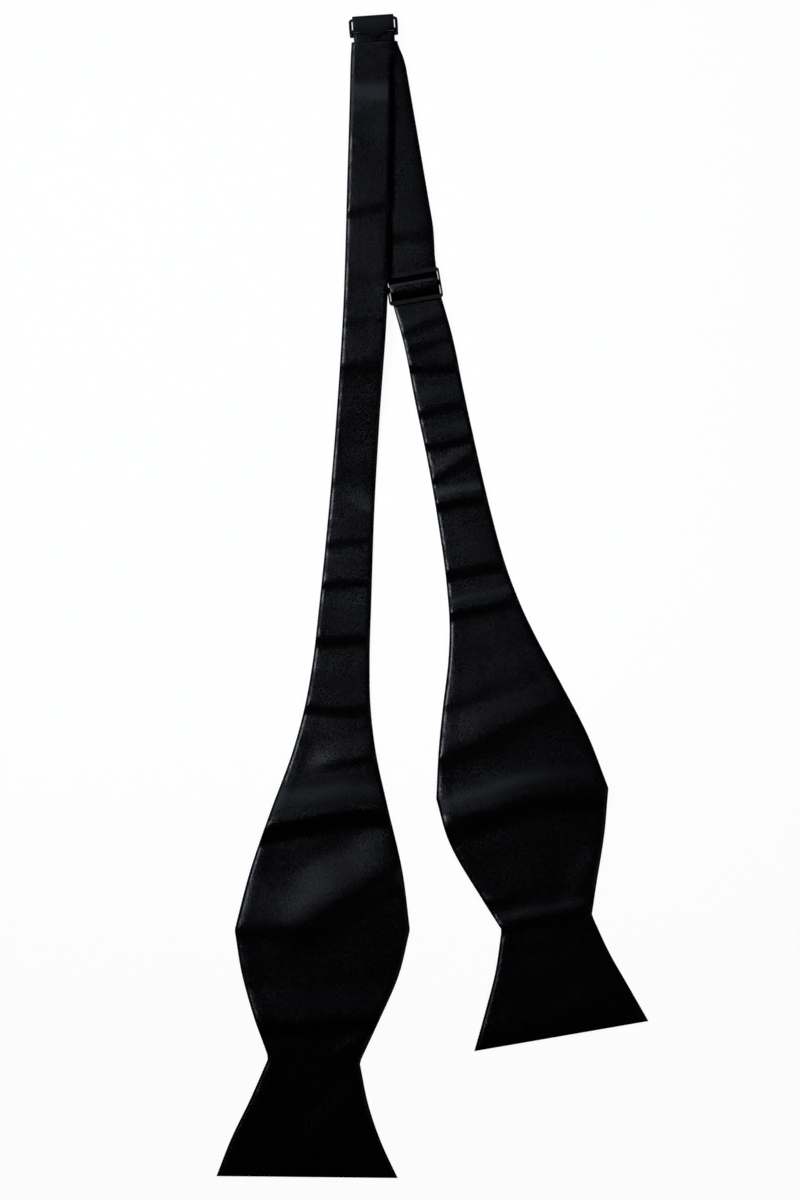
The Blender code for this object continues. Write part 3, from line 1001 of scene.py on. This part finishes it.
@dataclass
class LeftHalf:
    """The half that ends in the hook. Its band arches over the right half's strap."""

    finishes: Finishes
    arch: float = 5.85
    arch_rises: Pair = (38.0, 108.0)
    arch_drops: Pair = (186.0, 212.0)
    loop_level: float = 3.15
    loop_room: float = 0.5

    def lift(self, y: np.ndarray) -> np.ndarray:
        """Height of the underside: on the table, over the strap, then down to the hook.

        Args:
            y: The places from tip to neck.

        Returns:
            The height at each place.
        """
        arch = smooth_step(*self.arch_rises, y) * self.arch
        drop = smooth_step(*self.arch_drops, y) * (self.arch - self.loop_level)
        return arch - drop + smooth_step(203.0, 212.0, y) * self.loop_room

    @staticmethod
    def fade(y: np.ndarray) -> np.ndarray:
        """The folds die out where the band is held flat by the hook's bar."""
        return 1.0 - smooth_step(196.0, 212.0, y) * 0.85

    @staticmethod
    def thinning(y: np.ndarray) -> np.ndarray:
        """The band is pressed thinner where it turns round the hook's bar."""
        return 1.0 - smooth_step(206.0, 221.0, y) * 0.12

    def build(self) -> list[Piece]:
        """Make the half and let it ride with its body.

        Returns:
            Its pieces.
        """
        half = SewnHalf("left", LEFT_FOLDS, self.finishes, self.lift, self.fade, self.thinning)
        front, front_cut = half.make_face(Layer.FRONT, LEFT_STATIONS)
        to_loop = LEFT_STATIONS[:-1]
        back, back_cut = half.make_face(Layer.BACK, to_loop)
        canvas, canvas_cut = half.make_canvas(to_loop)
        stitches = half.make_stitches(to_loop)
        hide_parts("left_front_panel", "left_front_band")
        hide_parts("left_back_panel", "left_back_band")
        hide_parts("left_interlining")
        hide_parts("left_seam_thread")
        pieces = [front, back, canvas, stitches]
        for piece in pieces:
            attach(piece, "left_half")
        return pieces


@dataclass
class RightHalf:
    """The half whose band runs up into the slider."""

    finishes: Finishes
    slider_level: float = 1.55
    rises: Pair = (84.0, 117.0)
    band_thinning: float = 0.3
    slack: Pair = (-45.0, -7.0)

    def lift(self, y: np.ndarray) -> np.ndarray:
        """Height of the underside: on the table, then up to the slider."""
        return smooth_step(*self.rises, y) * self.slider_level

    @staticmethod
    def fade(y: np.ndarray) -> np.ndarray:
        """The folds die out where the band dips under the slider's bar."""
        return 1.0 - smooth_step(110.0, 117.0, y) * 0.97

    def thinning(self, y: np.ndarray) -> np.ndarray:
        """The band is pressed thinner as it nears the slider."""
        near = smooth_step(78.0, 108.0, y) * self.band_thinning
        return 1.0 - near - smooth_step(114.0, 118.5, y) * 0.2

    def build(self) -> list[Piece]:
        """Make the half, whose band runs from the blade up to the slider.

        Returns:
            Its pieces.
        """
        half = SewnHalf("right", RIGHT_FOLDS, self.finishes, self.lift, self.fade, self.thinning)
        front, front_cut = half.make_face(Layer.FRONT, RIGHT_STATIONS)
        back, back_cut = half.make_face(Layer.BACK, RIGHT_STATIONS)
        blade = RIGHT_STATIONS[:-3] + (Station(4.0, 75.4, 11.4, 9.95),)
        canvas, canvas_cut = half.make_canvas(blade)
        stitches = half.make_stitches(blade)
        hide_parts("right_front_panel", "right_band_lower_run")
        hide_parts("right_back_panel")
        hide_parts("right_interlining")
        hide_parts("right_seam_thread")
        start, end = (Strap.point(u, 0.0) for u in self.slack)
        for piece in (front, back):
            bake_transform(piece)
        for piece in (canvas, stitches):
            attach(piece, "right_half")
        return [front, back, canvas, stitches]


# --- strap and hardware


SLIDER_AT = (-5.4, 124.0)
STRAP_LEAN = math.radians(9.65)
SLIDER_TO_EYE = 102.7
PIVOT = (-23.5, 230.2, 6.0)
HARDWARE_LEAN = math.radians(4.0)


def placed(origin: Sequence[float], lean: float, points: np.ndarray) -> np.ndarray:
    """Turn points of a small group about Z and move them to its origin.

    Args:
        origin: The group's origin.
        lean: How far it leans, in radians.
        points: The points, measured from the group's origin.

    Returns:
        The points in their place on the tie.
    """
    turn = np.array(
        [[math.cos(lean), math.sin(lean), 0.0], [-math.sin(lean), math.cos(lean), 0.0], [0, 0, 1.0]]
    )
    return np.asarray(points, float) @ turn + np.asarray(origin, float)


def band_flat(path: np.ndarray, sections: Sequence[np.ndarray]) -> np.ndarray:
    """Where the points of a swept band lie on the flat cloth.

    Args:
        path: The band's course.
        sections: The section at each point of it.

    Returns:
        Their places in centimetres.
    """
    across = np.concatenate([section[:, 0] for section in sections])
    along = np.repeat(travelled(path), len(sections[0]))
    return np.stack([across, along], -1) / MM_PER_CM


@dataclass
class Strap:
    """The adjustable strap: over the slider's centre bar, to the eye and back again."""

    finishes: Finishes
    crossing_half: float = 10.0
    sidestep: float = -1.7
    straightens: Pair = (4.0, 25.0)
    strap_half: float = 9.95
    eye_half: float = 8.3
    crossing_thick: float = 0.75
    strap_thick: float = 1.2
    eye_thick: float = 0.6
    loop_thick: float = 0.35
    sides: int = 22
    slack: Pair = (7.5, 93.0)
    folds_grow: Pair = (8.0, 14.0)
    folds_fade: Pair = (60.0, 78.0)
    tack_at: Pair = (5.0, 0.93)
    tack_size: Pair = (7.4, 0.13)

    @staticmethod
    def point(along: float, up: float) -> Triple:
        """A point on the strap's straight run.

        Args:
            along: How far it is from the slider.
            up: How high it is.

        Returns:
            The point, in metres.
        """
        x = SLIDER_AT[0] - math.sin(STRAP_LEAN) * along
        y = SLIDER_AT[1] + math.cos(STRAP_LEAN) * along
        return (x * MM, y * MM, up * MM)

    def _knots(self) -> list[tuple[float, float, float, float]]:
        """The strap's course from under the slider to its end.

        Returns:
            For each point, how far along and how high it is, its thickness and half its width.
        """
        thin, full = self.crossing_thick, self.strap_thick
        eye, end = self.eye_thick, self.loop_thick
        wide, run, narrow = self.crossing_half, self.strap_half, self.eye_half
        climb = [(-5.1, 2.15), (-4.5, 2.2), (-3.75, 2.65), (-3.25, 3.3), (-2.85, 3.95)]
        climb += [(-2.35, 4.65), (-1.7, 5.05), (-0.9, 5.18)]
        over = [(u, z, thin, wide) for u, z in climb]
        over += [(0.0, 5.2, thin, wide)]
        over += [(-u, z, thin, wide) for u, z in reversed(climb)]
        knots = over + [(7.5, 2.15, 0.95, wide + 0.05), (11.0, 2.15, full, run - 0.1)]
        knots += [(float(u), 2.15, full, run) for u in range(14, 80, 2)]
        knots += [(82.0, 2.2, 1.1, run), (88.0, 2.4, 0.85, run - 0.05), (92.5, 2.55, eye, 9.4)]
        knots += [(95.5, 2.6, eye, 8.7)]
        fold_at = SLIDER_TO_EYE - 5.0
        knots += [(u, z, eye, narrow) for u, z in arc((fold_at, 1.5), 1.1, 90.0, -90.0, 14)]
        knots += [(93.0, 0.42, eye, narrow), (88.0, 0.6, 0.85, 8.7), (82.0, 0.7, 1.1, run - 0.4)]
        knots += [(float(u), 0.72, full, run - 0.25) for u in range(78, 12, -6)]
        knots += [(10.0, 0.7, 0.9, wide), (8.0, 0.66, 0.5, wide - 0.1)]
        tail = [(6.5, 0.62), (5.0, 0.66), (3.9, 0.8), (3.0, 1.15), (2.3, 1.7), (1.5, 2.35)]
        tail += [(0.8, 2.68), (0.1, 2.725)]
        bar = arc((-0.55, 3.55), 0.825, 270.0, 90.0, 12)
        knots += [(u, z, end, wide - 0.2) for u, z in [*tail, *bar, (0.3, 4.375), (0.85, 4.36)]]
        return knots

    def _leaning(self, along: np.ndarray) -> np.ndarray:
        """The strap's lean, which turns towards the eye's near its end."""
        share = smooth_step(82.0, SLIDER_TO_EYE - 5.0, along)
        return STRAP_LEAN + (HARDWARE_LEAN - STRAP_LEAN) * share

    def build(self) -> list[Piece]:
        """Make the strap and the zigzag that holds its end.

        Returns:
            The strap and the tack.
        """
        knots = np.array(self._knots())
        along, up, thick, half = knots.T
        aside = self.sidestep * (1.0 - smooth_step(*self.straightens, along))
        x = SLIDER_AT[0] - math.sin(STRAP_LEAN) * along + math.cos(STRAP_LEAN) * aside
        y = SLIDER_AT[1] + math.cos(STRAP_LEAN) * along + math.sin(STRAP_LEAN) * aside
        path = np.stack([x, y, up], -1)
        lean = self._leaning(along)
        side = np.stack([np.cos(lean), np.sin(lean), np.zeros_like(lean)], -1)
        sections = [pillow_ring(h, t, self.sides, 4.0) for h, t in zip(half, thick)]
        points = swept(path, side, sections)
        outward = np.arange(len(knots)) < len(knots) // 2
        top_run = np.repeat(outward & (along > 6.0) & (along < 92.0), self.sides)
        fade = smooth_step(*self.folds_grow, np.repeat(along, self.sides))
        fade *= 1.0 - smooth_step(*self.folds_fade, np.repeat(along, self.sides))
        points[:, 2] += np.where(top_run, STRAP_FOLDS.rise(points[:, 0], points[:, 1]) * fade, 0.0)
        faces = tube_faces(len(knots), self.sides, False)
        flat = band_flat(path, sections)
        strap = add_piece("adjustable_strap", points, faces, self.finishes.face, flat)
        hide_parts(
            "right_band_crossing",
            "right_band_upper_run",
            "right_band_fold",
            "right_band_return_run",
            "slider_end_loop",
        )
        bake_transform(strap)
        group, thread = (SLIDER_AT, STRAP_LEAN), self.finishes.thread
        tack = zigzag("strap_end_tack", self.tack_at, *self.tack_size, group, thread)
        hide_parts("slider_bar_tack")
        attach(tack, "slider")
        return [strap, tack]


def zigzag(
    name: str, place: Pair, half: float, radius: float, group: Group, thread: Material
) -> Piece:
    """Sew a dense zigzag across a band.

    Args:
        name: The piece's name.
        place: Where it lies, as (along the band, up).
        half: Half its width.
        radius: The thread's radius.
        group: The origin and the lean of the group it belongs to.
        thread: The thread's finish.

    Returns:
        The tack.
    """
    stitches, swing, sides = 26, 0.55, 6
    k = np.arange(stitches * 4 + 1)
    across = -half + 2.0 * half * k / k[-1]
    wave = np.clip(1.6 * np.sin(k * math.pi / 4.0 + math.pi / 4.0), -1.0, 1.0)
    dip = 0.25 * radius * np.cos(k * math.pi / 2.0)
    spine = np.stack([across, place[0] + swing * wave, place[1] + dip], -1)
    origin, lean = group
    spine = placed((*origin[:2], 0.0), lean, spine)
    side = np.cross([0.0, 0.0, 1.0], np.gradient(spine, axis=0))
    side /= np.linalg.norm(side, axis=1, keepdims=True)
    ring = pillow_ring(radius, 2.0 * radius, sides, 2.0)
    points = swept(spine, side, [ring] * len(spine))
    piece = add_piece(name, points, tube_faces(len(spine), sides, False), thread)
    return piece


def carved(name: str, shapes: list, finish: Material, rounding: float) -> Piece:
    """Join and cut solids into one metal piece and round its edges.

    Args:
        name: The piece's name.
        shapes: The first solid, then (solid, operation) pairs.
        finish: The material it wears.
        rounding: The radius of its edges.

    Returns:
        The finished piece, with nothing left on it to work out.
    """
    base = shapes[0]
    for tool, operation in shapes[1:]:
        step = base.modifiers.new(operation, "BOOLEAN")
        step.object = tool
        step.operation = operation
        step.solver = "EXACT"
    edges = base.modifiers.new("edges", "BEVEL")
    edges.width = rounding * MM
    edges.segments = 3
    edges.limit_method = "ANGLE"
    edges.angle_limit = math.radians(32.0)
    edges.harden_normals = True
    bpy.context.view_layer.update()
    seen = base.evaluated_get(bpy.context.evaluated_depsgraph_get())
    mesh = bpy.data.meshes.new_from_object(seen)
    mesh.name = name
    mesh.materials.clear()
    mesh.materials.append(finish)
    mesh.shade_smooth()
    for solid in (base, *(tool for tool, _ in shapes[1:])):
        bpy.data.objects.remove(solid, do_unlink=True)
    piece = linked(name, mesh)
    return piece


def metal_block(
    name: str,
    group: Group,
    sizes: tuple[float, ...],
    corner: float,
    finish: Material,
    aside: float = 0.0,
) -> Piece:
    """A flat block with round corners, to join to others or cut them with.

    Args:
        name: The block's name.
        group: The origin and the lean of the group it belongs to.
        sizes: Half its width, its lower and upper edge, its underside and its top.
        corner: The radius of its corners.
        finish: The material it wears.
        aside: How far it stands to the right of the group's middle.

    Returns:
        The block.
    """
    half, near, far, low, high = sizes
    outline = round_corners(half, near, far, corner, 6)
    points = [(x + aside, y, z) for z in (low, high) for x, y in outline]
    return add_piece(name, placed(*group, points), tube_faces(2, len(outline), False), finish)


@dataclass
class Slider:
    """The three-bar slider: two outer bars, a centre bar and a thin rail at each side."""

    finishes: Finishes
    half: float = 10.9
    sidestep: float = -1.7
    reach: float = 6.2
    rail: float = 0.75
    outer_bar: float = 1.6
    centre_half: float = 1.0
    low: float = 3.1
    high: float = 4.0
    corner: float = 1.3
    slot_corner: float = 0.35
    edge: float = 0.3

    def build(self) -> list[Piece]:
        """Make the slider.

        Returns:
            The slider.
        """
        wear, group = self.finishes.enamel, ((*SLIDER_AT, 0.0), STRAP_LEAN)
        bar = self.reach - self.outer_bar
        bars = (self.half, -self.reach, self.reach, self.low, self.high)
        shapes = [metal_block("bars", group, bars, self.corner, wear, self.sidestep)]
        slots = {"upper_slot": (self.centre_half, bar), "lower_slot": (-bar, -self.centre_half)}
        for name, (near, far) in slots.items():
            sizes = (self.half - self.rail, near, far, self.low - 1.0, self.high + 1.0)
            slot = metal_block(name, group, sizes, self.slot_corner, wear, self.sidestep)
            shapes.append((slot, "DIFFERENCE"))
        slider = carved("three_bar_slider", shapes, wear, self.edge)
        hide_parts("slider")
        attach(slider, "slider")
        return [slider]


@dataclass
class Eye:
    """The wire eye that the strap folds through."""

    finishes: Finishes
    wire: float = 0.6
    rail_at: float = 9.2
    reach: float = 5.0
    drop: float = 4.5
    corner: float = 1.0
    sides: int = 14

    def build(self) -> list[Piece]:
        """Make the eye.

        Returns:
            The eye.
        """
        length = math.hypot(self.reach, self.drop)
        tilt = math.atan2(self.drop, self.reach)
        across, down = np.array(round_corners(self.rail_at, -length, 0.0, self.corner, 8)).T
        spine = np.stack([across, down * math.cos(tilt), down * math.sin(tilt)], -1)
        ahead = np.roll(spine, -1, axis=0) - np.roll(spine, 1, axis=0)
        side = np.cross([0.0, -math.sin(tilt), math.cos(tilt)], ahead)
        side /= np.linalg.norm(side, axis=1, keepdims=True)
        ring = pillow_ring(self.wire, 2.0 * self.wire, self.sides, 2.0)
        points = swept(spine, side, [ring] * len(spine), closed=True)
        points = placed(PIVOT, HARDWARE_LEAN, points)
        faces = tube_faces(len(spine), self.sides, True)
        eye = add_piece("wire_eye", points, faces, self.finishes.enamel)
        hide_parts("eye")
        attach(eye, "eye")
        return [eye]


def upright_band(path: np.ndarray, sections: Sequence[np.ndarray]) -> np.ndarray:
    """Carry sections along a path that stands upright in the middle of the hook.

    Args:
        path: The path's points, as (along the band, up).
        sections: The section at each point.

    Returns:
        The rings, one after another, in their place on the tie.
    """
    spine = np.column_stack([np.zeros(len(path)), path])
    side = np.tile([1.0, 0.0, 0.0], (len(path), 1))
    return placed(PIVOT, HARDWARE_LEAN, swept(spine, side, sections))


@dataclass
class Hook:
    """The sheet hook: a crown bent over the eye's bar, a pointed tongue, and a slotted plate."""

    finishes: Finishes
    sheet: float = 0.7
    bend: float = 1.2
    plate_drop: float = 0.75
    neck_half: float = 8.3
    frame_half: float = 9.7
    slot_half: float = 9.0
    bar: Pair = (-6.7, -5.4)
    slot_end: float = -4.7
    plate_end: float = -3.6
    tongue: Pair = (-3.4, -7.7)
    tongue_tip_half: float = 0.5
    sides: int = 16
    squareness: float = 9.0
    edge: float = 0.16

    @property
    def plate(self) -> float:
        """The height of the plate's middle."""
        return -self.bend - self.plate_drop

    def _strip(self) -> tuple[np.ndarray, list[float]]:
        """The strip that runs from the plate round the crown to the tongue.

        Returns:
            Its course, and half its width at each point.
        """
        plate, top = self.plate, self.bend
        path = [(-4.3, plate), (-3.4, plate), (-2.6, plate + 0.3), (-1.9, -top)]
        path += [(-0.6, -top), *arc((0.0, 0.0), top, -90.0, 90.0, 18)]
        path += [(-1.2, top), (-2.3, top - 0.03)]
        neck = len(path)
        start, tip = self.tongue
        path += [(start, top - 0.15), (-4.2, top - 0.28)]
        path += [(-5.0, top - 0.45), (-6.0, top - 0.7), (-6.9, top - 0.92), (tip, top - 1.1)]
        widths = [self.neck_half] * neck
        for along, _ in path[neck:]:
            share = (along - tip) / (start - tip)
            widths.append(self.tongue_tip_half + (self.neck_half - self.tongue_tip_half) * share)
        return np.array(path), widths

    def _block(self, name: str, half: float, ends: Pair, levels: Pair) -> Piece:
        """Make a block of the plate or its slot.

        Args:
            name: The block's name.
            half: Half its width.
            ends: Its lower and upper edge.
            levels: Its underside and its top.

        Returns:
            The block.
        """
        corner = min(0.5, (ends[1] - ends[0]) * 0.45)
        group, sizes = (PIVOT, HARDWARE_LEAN), (half, *ends, *levels)
        return metal_block(name, group, sizes, corner, self.finishes.enamel)

    def build(self) -> list[Piece]:
        """Make the hook.

        Returns:
            The hook.
        """
        wear = self.finishes.enamel
        path, widths = self._strip()
        rings = [pillow_ring(w, self.sheet, self.sides, self.squareness) for w in widths]
        faces = tube_faces(len(path), self.sides, False)
        strip = add_piece("strip", upright_band(path, rings), faces, wear)
        low, high = self.plate - self.sheet / 2.0, self.plate + self.sheet / 2.0
        loop = self._block("plate", self.frame_half, (self.bar[0], self.plate_end), (low, high))
        opening = (self.bar[1], self.slot_end)
        slot = self._block("slot", self.slot_half, opening, (low - 0.6, high + 0.5))
        hook = carved("hook_body", [strip, (loop, "UNION"), (slot, "DIFFERENCE")], wear, self.edge)
        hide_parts("hook")
        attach(hook, "left_half")
        return [hook]


@dataclass
class BandTurn:
    """The left band's end, turned round the hook's bar and tacked."""

    finishes: Finishes
    hook: Hook
    cloth: float = 0.45
    gap: float = 0.2
    over_half: float = 7.95
    under_half: float = 8.3
    top_starts: float = -15.6
    bends: float = -6.2
    under_ends: float = -18.2
    sides: int = 18
    tack_at: Pair = (-13.6, 5.5)
    tack_half: float = 7.6
    tack_thread: float = 0.15

    def build(self) -> list[Piece]:
        """Make the turned end and its tack.

        Returns:
            The turned end and the tack.
        """
        plate = self.hook.plate
        reach = self.hook.sheet / 2.0 + self.gap + self.cloth / 2.0
        bend_at = self.hook.bar[1] - self.hook.sheet / 2.0
        path = [(float(v), plate + reach) for v in np.linspace(self.top_starts, self.bends, 8)]
        path += arc((bend_at, plate), reach, 90.0, -90.0, 14)
        path += [(float(v), plate - reach) for v in np.linspace(self.bends, self.under_ends, 9)]
        spots = np.array(path)
        share = smooth_step(0.0, 1.0, np.linspace(0.0, 1.0, len(spots)))
        halves = self.over_half + (self.under_half - self.over_half) * share
        sections = [pillow_ring(h, self.cloth, self.sides, 4.0) for h in halves]
        points = upright_band(spots, sections)
        faces = tube_faces(len(spots), self.sides, False)
        flat = band_flat(spots, sections)
        turn = add_piece("left_band_turn", points, faces, self.finishes.face, flat)
        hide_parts("left_band_loop")
        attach(turn, "left_half")
        group, thread = (PIVOT, HARDWARE_LEAN), self.finishes.thread
        size = (self.tack_half, self.tack_thread)
        tack = zigzag("left_band_tack", self.tack_at, *size, group, thread)
        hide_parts("left_bar_tack")
        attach(tack, "left_half")
        return [turn, tack]


# --- studio


@dataclass(frozen=True)
class SoftBox:
    """A square soft light that faces a place on the table.

    place, size and target are in metres, power in watts and spread in degrees. cool is how
    bluish it is, from 0 to 1.
    """

    name: str
    place: Triple
    size: float
    power: float
    cool: float
    target: Pair = (0.0, -0.02)
    spread: float = 180.0

    def build(self) -> Piece:
        """Set the light up.

        Returns:
            The light.
        """
        lamp = bpy.data.lights.new(self.name, "AREA")
        lamp.shape = "SQUARE"
        lamp.size = self.size
        lamp.energy = self.power
        lamp.spread = math.radians(self.spread)
        lamp.color = (1.0 - 0.28 * self.cool, 1.0 - 0.21 * self.cool, 1.0)
        light = linked(self.name, lamp)
        light.location = self.place
        aim = Vector((*self.target, 0.0)) - Vector(self.place)
        light.rotation_euler = aim.to_track_quat("-Z", "Y").to_euler()
        light.visible_camera = False
        return light


LIGHTS = (
    SoftBox("key", (-0.6, 1.0, 1.2), 1.0, 3.9, 1.0),
    SoftBox("fill", (1.2, -0.6, 1.3), 1.2, 0.6, 0.3),
    SoftBox("band_light", (-0.5, 0.11, 1.0), 0.4, 0.115, 0.7, (-0.07, 0.1), 17.0),
)


@dataclass
class Studio:
    """A pale table and sweep, soft lights, and a camera straight above the tie."""

    middle: Pair = (-12.7, -1.6)
    height: float = 1600.0
    view_length: float = 480.0
    lens: float = 80.0
    paper: tuple[float, ...] = (0.16, 0.16, 0.16, 1.0)
    paper_glow: tuple[float, ...] = (1.0, 1.0, 1.0, 1.0)
    glow: float = 0.95
    room: tuple[float, ...] = (0.85, 0.9, 1.0, 1.0)
    room_glow: float = 0.004
    table_rings: tuple[float, ...] = (0.4, 1.5, 3.0)
    sweep_curve: float = 1.5
    wall_top: float = 6.0
    turns: int = 64

    def build_camera(self) -> None:
        """Hang the camera over the tie, looking straight down."""
        lens = bpy.data.cameras.new("camera")
        lens.sensor_fit = "VERTICAL"
        lens.lens = self.lens
        lens.sensor_height = self.lens * self.view_length / self.height
        lens.clip_start = 0.01
        lens.clip_end = 60.0
        camera = linked("camera", lens)
        camera.location = (self.middle[0] * MM, self.middle[1] * MM, (self.height + 2.0) * MM)
        bpy.context.scene.camera = camera

    def _paper(self) -> Material:
        """Make the pale paper that covers the table and the wall.

        Returns:
            The material.
        """
        bench = NodeBench("pale_paper")
        bench.relief(bench.noise(bench.solid_place(), 900.0, 3.0), 0.05, 0.0001)
        bench.fixed(Base_Color=self.paper, Emission_Color=self.paper_glow)
        bench.fixed(Roughness=0.9, Emission_Strength=self.glow)
        return bench.material

    def build_sweep(self) -> None:
        """Make the table, which curves up into a pale wall all round."""
        edge, curve, turns = self.table_rings[-1], self.sweep_curve, self.turns
        profile = [(radius, 0.0) for radius in self.table_rings]
        rounding = arc((0.0, 0.0), curve, -90.0, 0.0, 14)
        profile += [(edge + r, curve + z) for r, z in rounding]
        profile += [(edge + curve, self.wall_top)]
        angles = np.linspace(0.0, 2.0 * math.pi, turns, endpoint=False)
        points = [(0.0, 0.0, 0.0)]
        for radius, up in profile:
            points += [(radius * math.cos(a), radius * math.sin(a), up) for a in angles]
        faces = [[0, 1 + k, 1 + (k + 1) % turns] for k in range(turns)]
        for here in range(1, 1 + (len(profile) - 1) * turns, turns):
            there = here + turns
            for k in range(turns):
                after = (k + 1) % turns
                faces.append([here + k, there + k, there + after, here + after])
        paper = self._paper()
        mesh = bpy.data.meshes.new("table_sweep")
        mesh.from_pydata(points, [], faces)
        mesh.shade_smooth()
        mesh.materials.append(paper)
        sweep = linked("table_sweep", mesh)
        sweep.visible_glossy = False
        sweep.visible_diffuse = False

    def build(self) -> None:
        """Set up the camera, the table, the lights and the room."""
        self.build_camera()
        self.build_sweep()
        for light in LIGHTS:
            light.build()
        world = bpy.data.worlds.new("room")
        world.use_nodes = True
        room = world.node_tree.nodes["Background"]
        room.inputs["Color"].default_value = self.room
        room.inputs["Strength"].default_value = self.room_glow
        bpy.context.scene.world = world
        bpy.context.scene.view_settings.view_transform = "Standard"


@dataclass
class BowTie:
    """The whole tie, built piece by piece in the order it would be sewn."""

    finishes: Finishes = field(default_factory=Finishes.mixed)

    def build(self) -> list[Piece]:
        """Make every piece of the tie.

        Returns:
            The pieces, in the order they were made.
        """
        hook = Hook(self.finishes)
        makers = (
            LeftHalf(self.finishes),
            RightHalf(self.finishes),
            hook,
            BandTurn(self.finishes, hook),
            Slider(self.finishes),
            Eye(self.finishes),
            Strap(self.finishes),
        )
        pieces: list[Piece] = []
        for maker in makers:
            made = maker.build()
            for piece in made:
                faces = len(piece.data.polygons)
                LOG.info("%s: %s, %d faces", type(maker).__name__, piece.name, faces)
            pieces += made
        return pieces


def main() -> None:
    """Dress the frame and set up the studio."""
    logging.basicConfig(level=logging.INFO, format="%(name)s %(message)s")
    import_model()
    Studio().build()
    pieces = BowTie().build()
    LOG.info("%d pieces made", len(pieces))
    bpy.context.view_layer.update()


if __name__ == "__main__":
    main()
